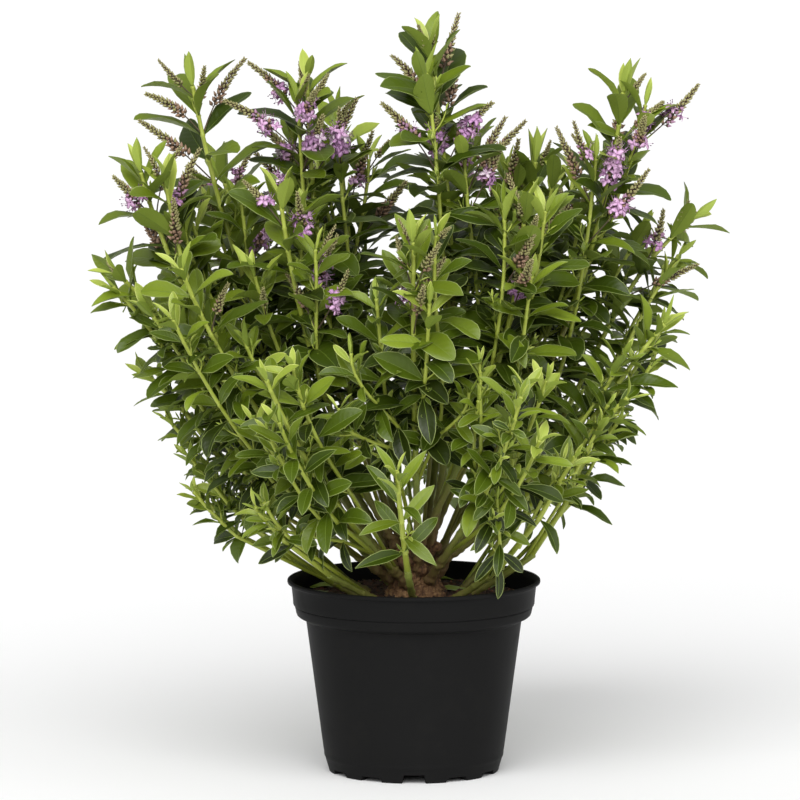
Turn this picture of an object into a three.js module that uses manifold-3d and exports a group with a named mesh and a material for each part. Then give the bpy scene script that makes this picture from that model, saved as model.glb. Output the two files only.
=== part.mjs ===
// A hebe shrub grown in a black nursery pot. Millimetres, +Z up.
// The origin is on the pot's axis at the level that it stands on, -Y is the front and +X the right.
// Every shoot is one curved line from its foot to its tip: its lower stretch is a bare, tapering bough,
// and the rest lies inside one uneven mass of foliage.

import * as THREE from "three";
import { mergeVertices } from "three/addons/utils/BufferGeometryUtils.js";
import Module from "manifold-3d";

const wasm = await Module();
wasm.setup();

// ---- driving dimensions -------------------------------------------------------------------------

const GAP = 0.3; // left between two pieces that touch

const POT = {
  height: 145,
  rimRadius: 95,
  lipHeight: 5.5, // of the band that stands out at the rim
  collarTopRadius: 91.6,
  collarFootRadius: 88.4,
  collarFoot: 116, // height of the collar's lower edge
  shoulder: 110.8, // height where the slant under the collar meets the body
  shoulderRadius: 81,
  bodyFootRadius: 67.3,
  bodyFoot: 10.9,
  footRadius: 64,
  wall: 1.8,
  floor: 7.6, // height of the inside floor
  underside: 5.6, // height of the raised underside
  footWidth: 7, // of the ring of feet, measured along the radius
  segments: 48,
};

const FEET = { count: 12, shallow: 3.5, deep: 6.6, deepEvery: 3 }; // and the depths of the slots between
const DRAIN = { count: 4, radius: 5, ring: 46, sides: 12 };

const COMPOST = { top: 132, edgeDrop: 2.5, flatRadius: 62 };

const TRUNK = { flareRadius: 24, waistRadius: 17.5, topRadius: 15, height: 34, lean: -3, ribs: 0.06 };
const TRUNK_FACETS = { sides: 14, steps: 5 };

const HEART = new THREE.Vector3(0, 0, 135); // the shoots' bearings, leans and lengths are taken from here

const BOUGH = { footRadius: 3.6, endRadius: 2.4, sides: 6, steps: 5 };
const BARE = { upright: 118, perDegree: 0.75 }; // bare length of an upright shoot, less so much a degree
const BOW = 13; // degrees that a shoot leans out more at its foot and less at its tip than between them
const ARM = 0.36; // how far the curve's inner points lie from its ends, as a share of the length
const RIM = { clearance: 3, maxLean: 60 }; // foliage stays above the pot's rim, and feet lean no more

// Foliage: its facets, how uneven it is, how round its base and tip are, and its radius at both ends.
const MASS_FACETS = { sides: 8, steps: 10 };
const MASS = { lobes: 0.13, waves: 0.1, whorls: 5, base: 0.5, tip: 0.32, mouth: 5 };

// Room between shoots: the clearance of a bough, and the gap between masses as a share of their size.
const ROOM = { bough: 13, share: 0.09, marks: 48, halvings: 9 };

// The shoots from the top down: name, bearing in degrees from the front towards the right, lean from
// upright, length from the heart to the tip, and the radius of the foliage.
const SHOOTS = [
  ["top_centre", 60, 1, 431, 44],
  ["top_centre_left", -112, 12, 413, 38],
  ["back_centre_left", -155, 21, 392, 40],
  ["front_centre", 0, 22, 320, 46],
  ["mid_left", -58, 20, 346, 42],
  ["mid_right", 52, 18, 331, 44],
  ["mid_right_back", 126, 19, 358, 42],
  ["top_right", 97, 22, 426, 44],
  ["top_left", -96, 23, 434, 40],
  ["back_centre_right", 162, 23, 378, 40],
  ["left_upper", -84, 32, 394, 36],
  ["back_left", -130, 31, 380, 42],
  ["back_right", 140, 31, 385, 42],
  ["front_left", -55, 38, 350, 38],
  ["far_right", 112, 40, 384, 32],
  ["right_side", 76, 43, 300, 32],
  ["front_right", 30, 41, 256, 44],
  ["front_left_low", -35, 45, 280, 42],
  ["far_left", -69, 45, 354, 25],
  ["front_low", -4, 56, 234, 38],
  ["left_mid", -98, 53, 278, 29],
  ["back_left_low", -143, 52, 262, 42],
  ["back_low", 176, 53, 238, 44],
  ["back_right_low", 135, 54, 258, 42],
  ["right_low", 69, 54, 230, 28],
  ["front_right_low", 48, 58, 202, 30],
  ["left_low", -86, 61, 210, 28],
  ["front_left_foot", -48, 65, 188, 26],
];

// Where the shoots' lines begin: up to which lean, on which ring, and at what heights above the
// compost, by turns. Upright shoots leave the trunk's top, others its side, and the lowest the compost.
const FOOT_TIERS = [
  { maxLean: 20, radius: 10, heights: [30] },
  { maxLean: 45, radius: 12, heights: [10, 20] },
  { maxLean: 90, radius: 35, heights: [-5] },
];

// ---- helpers ------------------------------------------------------------------------------------

const turn = (degrees) => (degrees * Math.PI) / 180;

// A repeatable run of numbers from -1 to 1.
function unevenness(seed) {
  let state = seed * 7919 + 17;
  return () => {
    state = (state * 16807) % 2147483647;
    return (state / 2147483647) * 2 - 1;
  };
}

function direction(bearing, lean) {
  const across = Math.sin(turn(lean));
  return new THREE.Vector3(
    Math.sin(turn(bearing)) * across,
    -Math.cos(turn(bearing)) * across,
    Math.cos(turn(lean)),
  );
}

function piece(name, geometry, colour, roughness) {
  const material = new THREE.MeshStandardMaterial({ color: colour, roughness, metalness: 0 });
  const mesh = new THREE.Mesh(geometry, material);
  mesh.name = name;
  return mesh;
}

// A closed solid round a line: rings of `sides` points whose radius is radiusAt(t, angle, centre, arm),
// with a point at each end, or flat ends where the radius there isn't nothing.
function solidAlong(curve, steps, sides, radiusAt) {
  const frames = curve.computeFrenetFrames(steps, false);
  const points = [];
  const rings = [];
  for (let i = 0; i <= steps; i += 1) {
    const t = i / steps;
    const centre = curve.getPointAt(t);
    const ring = [];
    for (let k = 0; k < sides; k += 1) {
      const angle = (2 * Math.PI * k) / sides;
      const arm = frames.normals[i].clone().multiplyScalar(Math.cos(angle));
      arm.addScaledVector(frames.binormals[i], Math.sin(angle));
      const radius = radiusAt(t, angle, centre, arm);
      ring.push(points.length);
      points.push(centre.clone().addScaledVector(arm, radius));
    }
    rings.push(ring);
  }
  const ends = [points.length, points.length + 1];
  points.push(curve.getPointAt(0), curve.getPointAt(1));
  const faces = [];
  for (let k = 0; k < sides; k += 1) {
    const next = (k + 1) % sides;
    faces.push(ends[0], rings[0][next], rings[0][k]);
    faces.push(ends[1], rings[steps][k], rings[steps][next]);
    for (let i = 0; i < steps; i += 1) {
      faces.push(rings[i][k], rings[i][next], rings[i + 1][next]);
      faces.push(rings[i][k], rings[i + 1][next], rings[i + 1][k]);
    }
  }
  const geometry = new THREE.BufferGeometry();
  const numbers = points.flatMap((point) => point.toArray());
  geometry.setAttribute("position", new THREE.Float32BufferAttribute(numbers, 3));
  geometry.setIndex(faces);
  return geometry;
}

// A profile of [radius, height] pairs turned round the pot's axis.
function turned(profile, segments) {
  const geometry = new THREE.LatheGeometry(profile.map(([r, z]) => new THREE.Vector2(r, z)), segments);
  geometry.rotateX(Math.PI / 2);
  return geometry;
}

function solidOf(geometry) {
  const bare = geometry.clone();
  bare.deleteAttribute("normal");
  bare.deleteAttribute("uv");
  const merged = mergeVertices(bare, 1e-4);
  const corners = merged.index.array;
  const kept = [];
  for (let i = 0; i < corners.length; i += 3) {
    const [a, b, c] = corners.slice(i, i + 3);
    if (a !== b && b !== c && c !== a) kept.push(a, b, c);
  }
  const vertProperties = new Float32Array(merged.attributes.position.array);
  return new wasm.Manifold(new wasm.Mesh({ numProp: 3, vertProperties, triVerts: new Uint32Array(kept) }));
}

function geometryOf(solid) {
  const mesh = solid.getMesh();
  const geometry = new THREE.BufferGeometry();
  geometry.setAttribute("position", new THREE.BufferAttribute(mesh.vertProperties, 3));
  geometry.setIndex(new THREE.BufferAttribute(mesh.triVerts, 1));
  return geometry;
}

// ---- the pot and its compost --------------------------------------------------------------------

// Inside radius of the pot's collar and body at a height.
function insideRadius(height) {
  const { wall, collarFoot, collarFootRadius, collarTopRadius, height: rim } = POT;
  if (height >= collarFoot) {
    const up = (height - collarFoot) / (rim - collarFoot);
    return collarFootRadius + (collarTopRadius - collarFootRadius) * up - wall;
  }
  const up = (height - POT.bodyFoot) / (POT.shoulder - POT.bodyFoot);
  return POT.bodyFootRadius + (POT.shoulderRadius - POT.bodyFootRadius) * up - wall;
}

function potShell() {
  const { height, wall, shoulder, collarFoot, footRadius, footWidth } = POT;
  const innerShoulder = shoulder + wall;
  const innerCollar = collarFoot + wall;
  return turned(
    [
      [0, POT.underside],
      [footRadius - footWidth, POT.underside],
      [footRadius - footWidth, 0],
      [footRadius, 0],
      [POT.bodyFootRadius, POT.bodyFoot],
      [POT.shoulderRadius, shoulder],
      [POT.collarFootRadius, collarFoot],
      [POT.collarTopRadius, height - POT.lipHeight],
      [POT.rimRadius, height - POT.lipHeight],
      [POT.rimRadius, height],
      [insideRadius(height), height],
      [insideRadius(innerCollar), innerCollar],
      [insideRadius(innerShoulder), innerShoulder],
      [insideRadius(POT.bodyFoot), POT.bodyFoot],
      [footRadius - wall, POT.floor],
      [0, POT.floor],
    ],
    POT.segments,
  );
}

// The slots between the feet, every third one deeper, with one of the deep ones at the front.
function footSlots() {
  const slots = [];
  for (let i = 0; i < FEET.count; i += 1) {
    const depth = i % FEET.deepEvery === 0 ? FEET.deep : FEET.shallow;
    const width = 2 * POT.footRadius * Math.tan(Math.PI / (2 * FEET.count));
    const slot = new THREE.BoxGeometry(width, 4 * POT.footWidth, 2 * depth);
    slot.translate(0, -POT.footRadius, 0);
    slot.rotateZ((2 * Math.PI * i) / FEET.count);
    slots.push(slot);
  }
  return slots;
}

function drainHoles() {
  const holes = [];
  for (let i = 0; i < DRAIN.count; i += 1) {
    const hole = new THREE.CylinderGeometry(DRAIN.radius, DRAIN.radius, 2 * POT.floor, DRAIN.sides);
    hole.rotateX(Math.PI / 2);
    hole.translate(0, -DRAIN.ring, POT.floor);
    hole.rotateZ((2 * Math.PI * (i + 0.5)) / DRAIN.count);
    holes.push(hole);
  }
  return holes;
}

function pot() {
  let solid = solidOf(potShell());
  for (const cut of [...footSlots(), ...drainHoles()]) {
    solid = solid.subtract(solidOf(cut));
  }
  return piece("pot", geometryOf(solid), 0x1c1c1d, 0.45);
}

function compost() {
  const { top, edgeDrop, flatRadius } = COMPOST;
  const edge = top - edgeDrop;
  const shoulder = POT.shoulder + POT.wall;
  const collar = POT.collarFoot + POT.wall;
  const geometry = turned(
    [
      [0, POT.floor + GAP],
      [POT.footRadius - POT.wall - GAP, POT.floor + GAP],
      [insideRadius(POT.bodyFoot) - GAP, POT.bodyFoot],
      [insideRadius(shoulder) - GAP, shoulder],
      [insideRadius(collar) - GAP, collar + GAP],
      [insideRadius(edge) - GAP, edge],
      [flatRadius, top],
      [0, top],
    ],
    POT.segments / 2,
  );
  return piece("compost", geometry, 0x3a2a1e, 0.95);
}

// ---- the trunk ----------------------------------------------------------------------------------

// The short woody base: flared at the compost, tapering to its level top, where it leans to the left.
function trunkSolid(grown) {
  const { flareRadius, waistRadius, topRadius, height, lean } = TRUNK;
  const { sides, steps } = TRUNK_FACETS;
  const foot = COMPOST.top + GAP - grown;
  const top = foot + height + 2 * grown;
  const line = new THREE.CubicBezierCurve3(
    new THREE.Vector3(0, 0, foot),
    new THREE.Vector3(0, 0, foot + height / 2),
    new THREE.Vector3(lean, 0, top - height / 2),
    new THREE.Vector3(lean, 0, top),
  );
  const next = unevenness(5);
  const ribs = Array.from({ length: sides }, () => 1 + TRUNK.ribs * next());
  return solidAlong(line, steps, sides, (t, angle) => {
    const rib = ribs[Math.round((angle / (2 * Math.PI)) * sides)];
    const taper = waistRadius + (topRadius - waistRadius) * t;
    const flare = (flareRadius - waistRadius) * Math.pow(1 - t, 3);
    return (taper + flare) * rib + grown;
  });
}

function trunk() {
  return piece("trunk", trunkSolid(0), 0x5a4632, 0.9);
}

// ---- the shoots ---------------------------------------------------------------------------------

// The curve from a shoot's foot to its tip. It leans out more at the foot and straightens to the tip.
function shootLine(shoot, footBearing, tier, height) {
  const foot = direction(footBearing, 90).multiplyScalar(tier.radius);
  foot.z = COMPOST.top + height;
  const tip = HEART.clone().addScaledVector(direction(shoot.bearing, shoot.lean), shoot.length);
  const arm = shoot.length * ARM;
  const footLean = Math.min(shoot.lean + BOW, RIM.maxLean);
  const out = foot.clone().addScaledVector(direction(shoot.bearing, footLean), arm);
  const back = tip.clone().addScaledVector(direction(shoot.bearing, shoot.lean - BOW), -arm);
  return new THREE.CubicBezierCurve3(foot, out, back, tip);
}

// Every shoot with its line. The feet of a tier stand evenly round the trunk, in order of bearing.
function planShoots() {
  const shoots = SHOOTS.map(([name, bearing, lean, length, radius]) => {
    return { name, bearing, lean, length, radius };
  });
  for (const [rank, tier] of FOOT_TIERS.entries()) {
    const minLean = rank === 0 ? -1 : FOOT_TIERS[rank - 1].maxLean;
    const members = shoots.filter((s) => s.lean > minLean && s.lean <= tier.maxLean);
    members.sort((a, b) => a.bearing - b.bearing);
    for (const [i, shoot] of members.entries()) {
      const footBearing = -180 + (360 * (i + 0.5)) / members.length;
      const height = tier.heights[i % tier.heights.length];
      shoot.line = shootLine(shoot, footBearing, tier, height);
      shoot.bare = (BARE.upright - BARE.perDegree * shoot.lean) / shoot.length;
    }
  }
  return shoots;
}

// A stretch of a shoot's line, from one share of its length to another.
class Stretch extends THREE.Curve {
  constructor(line, from, to) {
    super();
    this.line = line;
    this.from = from;
    this.to = to;
  }

  getPoint(t, target = new THREE.Vector3()) {
    return target.copy(this.line.getPointAt(this.from + (this.to - this.from) * t));
  }
}

// What the boughs are cut back from at their feet: the trunk and the compost, each grown by the gap.
function footing() {
  const ground = new THREE.BoxGeometry(2 * POT.rimRadius, 2 * POT.rimRadius, COMPOST.top);
  ground.translate(0, 0, COMPOST.top / 2 + GAP);
  return solidOf(ground).add(solidOf(trunkSolid(GAP)));
}

function bough(shoot, cut) {
  const line = new Stretch(shoot.line, 0, shoot.bare);
  const { footRadius, endRadius, sides, steps } = BOUGH;
  const limb = solidAlong(line, steps, sides, (t) => footRadius + (endRadius - footRadius) * t);
  return piece(`bough_${shoot.name}`, geometryOf(solidOf(limb).subtract(cut)), 0x6f7a3c, 0.7);
}

// The foliage's plain radius as a share of its greatest: round below, blunt at the tip.
function plumpness(t) {
  const { base, tip } = MASS;
  const fullest = base / (base + tip);
  const shape = (at) => Math.pow(at, base) * Math.pow(1 - at, tip);
  return shape(t) / shape(fullest);
}

// Points along every shoot, each with the room that the shoot takes there.
function markRoom(shoots) {
  for (const shoot of shoots) {
    shoot.marks = [];
    for (let i = 0; i <= ROOM.marks; i += 1) {
      const t = i / ROOM.marks;
      const inMass = (t - shoot.bare) / (1 - shoot.bare);
      const room = Math.max(inMass > 0 ? shoot.radius * plumpness(inMass) : 0, ROOM.bough);
      shoot.marks.push({ at: shoot.line.getPointAt(t), room });
    }
  }
}

// How far a point lies from a shoot, counted in the room that the shoot takes.
function remoteness(point, shoot) {
  let nearest = Infinity;
  for (const mark of shoot.marks) {
    nearest = Math.min(nearest, point.distanceTo(mark.at) / mark.room);
  }
  return nearest;
}

// Whether a point stays above the pot and on this shoot's side of every other shoot.
function isClear(point, shoot, others) {
  const own = remoteness(point, shoot) + ROOM.share;
  const aboveRim = point.z > POT.height + RIM.clearance;
  return aboveRim && others.every((other) => remoteness(point, other) > own);
}

// The longest arm, up to `wanted`, whose end is clear, found by halving.
function clearRadius(centre, arm, wanted, shoot, others) {
  const clearAt = (radius) => isClear(centre.clone().addScaledVector(arm, radius), shoot, others);
  if (clearAt(wanted)) return wanted;
  let low = 0;
  let high = wanted;
  for (let i = 0; i < ROOM.halvings; i += 1) {
    const middle = (low + high) / 2;
    if (clearAt(middle)) low = middle;
    else high = middle;
  }
  return low;
}

function foliage(shoot, shoots) {
  const others = shoots.filter((other) => other !== shoot);
  const line = new Stretch(shoot.line, shoot.bare + GAP / shoot.line.getLength(), 1);
  const next = unevenness(SHOOTS.findIndex(([name]) => name === shoot.name) + 1);
  const phase = Math.PI * next();
  const { lobes, waves, whorls, mouth } = MASS;
  const { sides, steps } = MASS_FACETS;
  const geometry = solidAlong(line, steps, sides, (t, angle, centre, arm) => {
    const wave = waves * Math.sin(whorls * Math.PI * t + phase) * Math.cos(2 * angle + phase);
    const wanted = mouth + (shoot.radius - mouth) * plumpness(t) * (1 + lobes * next() + wave);
    return clearRadius(centre, arm, wanted, shoot, others);
  });
  return piece(`foliage_${shoot.name}`, geometry, 0x55702a, 0.6);
}

// ---- the whole plant ----------------------------------------------------------------------------

const hebe = new THREE.Group();
hebe.add(pot(), compost(), trunk());
const shoots = planShoots();
const cut = footing();
markRoom(shoots);
for (const shoot of shoots) {
  hebe.add(bough(shoot, cut));
  hebe.add(foliage(shoot, shoots));
}

export default hebe;
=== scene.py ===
import math

import bmesh
import bpy
import numpy as np
from bpy.props import FloatProperty, FloatVectorProperty, IntProperty, PointerProperty
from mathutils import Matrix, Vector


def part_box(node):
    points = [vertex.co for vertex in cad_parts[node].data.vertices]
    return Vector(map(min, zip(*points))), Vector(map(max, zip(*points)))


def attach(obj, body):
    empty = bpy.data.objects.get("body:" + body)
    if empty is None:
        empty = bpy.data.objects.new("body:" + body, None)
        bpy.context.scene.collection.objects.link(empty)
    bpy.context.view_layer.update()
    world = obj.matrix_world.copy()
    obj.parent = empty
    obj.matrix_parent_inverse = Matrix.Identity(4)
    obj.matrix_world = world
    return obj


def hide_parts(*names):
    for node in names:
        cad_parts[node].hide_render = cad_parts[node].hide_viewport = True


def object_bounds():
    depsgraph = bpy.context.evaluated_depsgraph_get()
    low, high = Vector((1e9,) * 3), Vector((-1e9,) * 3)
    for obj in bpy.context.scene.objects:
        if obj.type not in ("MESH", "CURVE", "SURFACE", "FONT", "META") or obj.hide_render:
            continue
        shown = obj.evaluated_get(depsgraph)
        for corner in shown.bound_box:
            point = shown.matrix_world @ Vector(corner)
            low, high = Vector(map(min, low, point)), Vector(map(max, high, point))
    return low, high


bl_info = {
    "name": "Potted hebe shrub",
    "version": (1, 0, 0),
    "blender": (4, 5, 0),
    "location": "View3D > Sidebar > Hebe",
    "description": "Grows a flowering hebe shrub in its nursery pot on the packed frame",
    "category": "Object",
}

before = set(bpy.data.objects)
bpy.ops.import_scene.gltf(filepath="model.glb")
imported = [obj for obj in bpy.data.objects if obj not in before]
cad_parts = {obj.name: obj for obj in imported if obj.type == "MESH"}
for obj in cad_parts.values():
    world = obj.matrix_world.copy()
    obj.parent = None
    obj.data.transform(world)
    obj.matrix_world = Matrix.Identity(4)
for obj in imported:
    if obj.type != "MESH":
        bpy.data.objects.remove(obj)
CAD_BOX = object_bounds()
MM = 0.001
TURN = 2.0 * math.pi
GOLDEN = TURN * 0.381966
UP = np.array([0.0, 0.0, 1.0])
LEVEL = np.array([1.0, 1.0, 0.0])
MAP = "OFBake"

# The masses of the crown, by the region that their leaves are joined in.
REGIONS = {
    "top": ("top_centre", "top_centre_left", "top_left", "top_right"),
    "heart": ("mid_left", "mid_right", "mid_right_back", "front_centre"),
    "back": ("back_centre_left", "back_centre_right", "back_left", "back_right"),
    "left": ("left_upper", "front_left", "far_left", "left_mid", "left_low"),
    "right": ("far_right", "right_side", "front_right", "right_low"),
    "front_low": ("front_left_low", "front_low", "front_right_low", "front_left_foot"),
    "back_low": ("back_left_low", "back_low", "back_right_low"),
}
FROM_COMPOST = 45.0  # lean in degrees past which a limb rises from the compost


# ---- sizes and colours --------------------------------------------------------------------------


def length(name, description, default):
    return FloatProperty(name=name, description=description, default=default, min=0, unit="LENGTH")


def share(name, description, default):
    return FloatProperty(
        name=name, description=description, default=default, min=0, max=1, subtype="FACTOR"
    )


def strength(name, description, default):
    return FloatProperty(name=name, description=description, default=default, min=0)


def angle(name, description, degrees):
    return FloatProperty(
        name=name, description=description, default=math.radians(degrees), unit="ROTATION"
    )


def colour(name, description, red, green, blue):
    """A colour property from display values of 0 to 255, kept as linear light."""
    parts = [c / 255.0 for c in (red, green, blue)]
    linear = [c / 12.92 if c <= 0.04045 else ((c + 0.055) / 1.055) ** 2.4 for c in parts]
    return FloatVectorProperty(
        name=name, description=description, default=linear, size=3, min=0, max=1, subtype="COLOR"
    )


class HebePot(bpy.types.PropertyGroup):
    """The nursery pot."""

    height: length("Height", "From the ground to the rim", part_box("pot")[1].z)
    rim_radius: length("Rim radius", "Outside radius of the band at the rim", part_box("pot")[1].x)
    lip_height: length("Lip height", "Height of the band at the rim", 4.6 * MM)
    collar_top: length("Collar top radius", "Outside radius under the band", 92.1 * MM)
    collar_foot: length("Collar foot radius", "Outside, at the collar's lower edge", 88.4 * MM)
    collar_edge: length("Collar edge height", "Height of the collar's lower edge", 119.4 * MM)
    shoulder: length("Shoulder height", "Where the collar's slant meets the body", 114.2 * MM)
    shoulder_radius: length("Shoulder radius", "Radius of the body under the collar", 81 * MM)
    body_foot: length("Body foot height", "Where the body ends above the feet", 10.9 * MM)
    body_foot_radius: length("Body foot radius", "Radius of the body above the feet", 67.3 * MM)
    foot_radius: length("Foot radius", "Outside radius of the ring of feet", 64 * MM)
    foot_width: length("Foot width", "Of the ring of feet, along the radius", 7 * MM)
    wall: length("Wall", "Thickness of the wall", 1.8 * MM)
    floor: length("Floor", "Height of the inside floor", 7.6 * MM)
    underside: length("Underside", "Height of the raised underside", 5.6 * MM)
    shallow_slot: length("Shallow slot", "Depth of most slots between the feet", 3.5 * MM)
    deep_slot: length("Deep slot", "Depth of every third slot", 6.6 * MM)
    drain_radius: length("Drain radius", "Radius of the drain holes", 5 * MM)
    drain_ring: length("Drain ring", "How far the drain holes are from the middle", 46 * MM)
    plastic: colour("Plastic", "Moulded black plastic", 25, 25, 25)
    dust: colour("Dust", "Dust and water marks on the plastic", 41, 40, 38)


class HebeCompost(bpy.types.PropertyGroup):
    """The potting compost."""

    relief: length("Relief", "Height of the lumps of its top", 1.7 * MM)
    lump: length("Lump", "Size of its lumps", 9 * MM)
    crumbs: IntProperty(name="Crumbs", description="Loose crumbs on top", default=620, min=0)
    crumb: length("Crumb", "Size of the largest crumbs", 3.6 * MM)
    dark: colour("Dark peat", "Moist peat", 44, 31, 23)
    brown: colour("Brown peat", "Drier peat", 96, 63, 44)
    bark: colour("Bark chips", "Reddish bark in the compost", 128, 76, 50)


class HebeWood(bpy.types.PropertyGroup):
    """The trunk and the boughs."""

    ridge: length("Ridge", "Height of the trunk's bark ridges", 2.3 * MM)
    knot: length("Knot", "Height of the trunk's knots", 3.4 * MM)
    collar: length("Collar", "How much a bough swells where it leaves the trunk", 2.1 * MM)
    knuckle: length("Knuckle", "Height of the lumps round the foot of a bough", 1.15 * MM)
    furrow: length("Furrow", "Depth of the furrows in the boughs' bark", 0.28 * MM)
    bark_dark: colour("Dark bark", "In the furrows", 50, 35, 24)
    bark: colour("Bark", "Old grey-brown bark", 112, 80, 52)
    bark_pale: colour("Pale bark", "Dry ridges", 158, 124, 84)
    woody: colour("Woody bough", "The brown foot of the boughs", 108, 84, 50)
    olive: colour("Olive bough", "Between wood and green shoot", 112, 110, 48)
    green: colour("Green bough", "The green end of the boughs", 120, 132, 50)


class HebeShoots(bpy.types.PropertyGroup):
    """The leafy shoots."""

    seed: IntProperty(name="Seed", description="Of every draw in the crown", default=11, min=0)
    bough_foot: length("Bough foot radius", "Where a bough leaves trunk or compost", 2.85 * MM)
    bough_end: length("Bough end radius", "Where a bough passes into its shoot", 2.45 * MM)
    tip: length("Tip radius", "Of a shoot under its last leaves", 1.5 * MM)
    side_foot: length("Side shoot radius", "Of a side shoot at its foot", 1.45 * MM)
    reach: length("Reach", "How far the last leaves stand past the end of the shoot", 21 * MM)
    room: length("Room for each", "Radius of the mass for each side shoot in it", 10 * MM)
    spread: share("Spread", "Share of the mass's radius where the side shoots end", 0.66)
    node_gap: length("Leaf pair gap", "Between the pairs of leaves well under the tip", 20 * MM)
    tufts: share("Tufts", "Share of leaf axils with a small shoot of their own", 0.24)
    young: colour("Young stem", "Just under the tip", 166, 178, 72)
    green: colour("Green stem", "This year's stem", 150, 162, 56)
    olive: colour("Olive stem", "Ripening stem", 130, 130, 50)
    brown: colour("Brown stem", "Old stem", 106, 94, 50)


class HebeLeaves(bpy.types.PropertyGroup):
    """The leaves."""

    longest: length("Longest leaf", "On the tall shoots", 56 * MM)
    shortest: length("Low leaf", "On the low shoots", 38 * MM)
    slender: share("Slenderness", "Width of a grown leaf as a share of its length", 0.395)
    thickness: length("Thickness", "Of the blade at its middle", 0.45 * MM)
    wave: share("Wave", "How far a margin waves, as a share of half the width", 0.17)
    margin: length("Margin", "Width of the pale edge", 0.46 * MM)
    rib: length("Midrib", "Width of the pale midrib", 0.5 * MM)
    # deep, dark and shade are also dealt to leaves inside the crown as painted shade.
    deep: colour("Deep leaf", "Oldest leaves", 38, 49, 8)
    dark: colour("Dark leaf", "Old leaves", 52, 68, 8)
    shade: colour("Shade leaf", "Grown leaves", 72, 90, 14)
    grown: colour("Green leaf", "Grown leaves in the light", 95, 112, 24)
    fresh: colour("Fresh leaf", "New leaves", 119, 137, 38)
    light: colour("Light leaf", "Leaves round the tip", 146, 162, 62)
    young: colour("Young leaf", "Leaves of the tip itself", 170, 184, 82)
    under_old: colour("Old underside", "Underside of dark leaves", 100, 118, 44)
    under_grown: colour("Underside", "Underside of green leaves", 122, 140, 52)
    under_young: colour("Young underside", "Underside of light leaves", 152, 170, 70)
    margin_grown: colour("Margin", "Pale edge of grown leaves", 140, 153, 88)
    margin_young: colour("Young margin", "Pale edge of young leaves", 190, 199, 108)
    rib_grown: colour("Midrib", "Midrib of grown leaves", 106, 126, 48)
    rib_young: colour("Young midrib", "Midrib of young leaves", 160, 178, 72)


class HebeBlossom(bpy.types.PropertyGroup):
    """The flower spikes."""

    lowest: length("Lowest", "Height of shoot tips above which shoots flower", 375 * MM)
    often: share("How often", "Share of the upper leaf axils with a spike", 0.43)
    spike: length("Spike", "Length of a grown spike with its stalk", 72 * MM)
    bud: length("Bud", "Length of the largest buds", 5.1 * MM)
    lobe: length("Lobe", "Length of a flower's lobes", 5.0 * MM)
    open: share("Open", "Share of the other grown spikes with open flowers", 0.16)
    stalk: colour("Stalk", "Purple-brown stalks", 86, 72, 56)
    calyx: colour("Calyx", "Brown-green calyxes", 110, 88, 68)
    bud_tip: colour("Tip bud", "Buds at the end of the spike", 156, 152, 100)
    bud_ripe: colour("Ripe bud", "Buds lower down", 158, 128, 106)
    bud_lilac: colour("Lilac bud", "Buds about to open", 176, 134, 164)
    lilac: colour("Lilac", "Petals", 220, 176, 214)
    mauve: colour("Mauve", "Petals in their first days", 198, 148, 196)
    faded: colour("Faded", "Petals past their best", 236, 216, 230)
    anther: colour("Anther", "Ends of the stamens", 96, 62, 96)


class HebeStage(bpy.types.PropertyGroup):
    """The floor, the light and the camera."""

    camera_across: FloatProperty(
        name="Camera across", description="Along X", default=-10.4 * MM, unit="LENGTH"
    )
    camera_back: length("Camera distance", "In front of the pot's axis", 5.0)
    camera_height: length("Camera height", "Above the ground", 0.912)
    aim_height: length("Aim height", "Height on the axis at the middle of the view", 279.8 * MM)
    lens: FloatProperty(name="Lens", description="Focal length in mm", default=303.1, min=1)
    floor: colour("Floor", "Pale floor", 246, 246, 246)
    key: strength("Key light", "Strength of the broad light from the left", 2.9)
    fill: strength("Fill light", "Strength of the light from the right", 0.85)
    soft: angle("Softness", "Width of the lights, seen from the plant", 58)
    sky: strength("Sky", "Strength of the light from overhead", 0.58)
    walls: strength("Walls", "Strength of the light from all round", 0.12)


# ---- numbers ------------------------------------------------------------------------------------


def unit(v):
    """Each vector over its own length."""
    return v / np.maximum(np.linalg.norm(v, axis=-1, keepdims=True), 1e-12)


def across(way, turn):
    """A direction square to each way: a level one, or nearly, turned about the way by the angle."""
    ref = np.where(np.abs(way[..., 2:]) < 0.94, UP, np.array([0.0, 1.0, 0.0]))
    side = unit(np.cross(ref, way))
    other = np.cross(way, side)
    turn = np.asarray(turn)[..., None]
    return np.cos(turn) * side + np.sin(turn) * other


def bezier(a, b, c, d, count):
    """Cubic curve: the four points weighted by the Bernstein polynomials of t from 0 to 1."""
    t = np.linspace(0, 1, count)[:, None]
    return (1 - t) ** 3 * a + 3 * t * (1 - t) ** 2 * b + 3 * t * t * (1 - t) * c + t**3 * d


def way_along(line):
    """Distance of each point of a line from its foot."""
    return np.r_[0.0, np.cumsum(np.linalg.norm(np.diff(line, axis=0), axis=1))]


def at(line, distance):
    """Points of a line, and its directions there, at distances from its foot."""
    way = way_along(line)
    slope = unit(np.gradient(line, way, axis=0))
    return (
        np.stack([np.interp(distance, way, c) for c in line.T], -1),
        unit(np.stack([np.interp(distance, way, c) for c in slope.T], -1)),
    )


def ripple(points, size, seed, waves=28):
    """Smooth unevenness about 1 high: the sum of sine waves of that length, in random
    directions."""
    rng = np.random.default_rng(seed)
    ways = unit(rng.normal(size=(waves, 3))) * (TURN / size) * rng.uniform(0.65, 1.5, (waves, 1))
    phase = rng.uniform(0, TURN, waves)
    return np.sin(points @ ways.T + phase).sum(-1) / math.sqrt(waves / 2)


# ---- the frame's solids -------------------------------------------------------------------------


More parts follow.
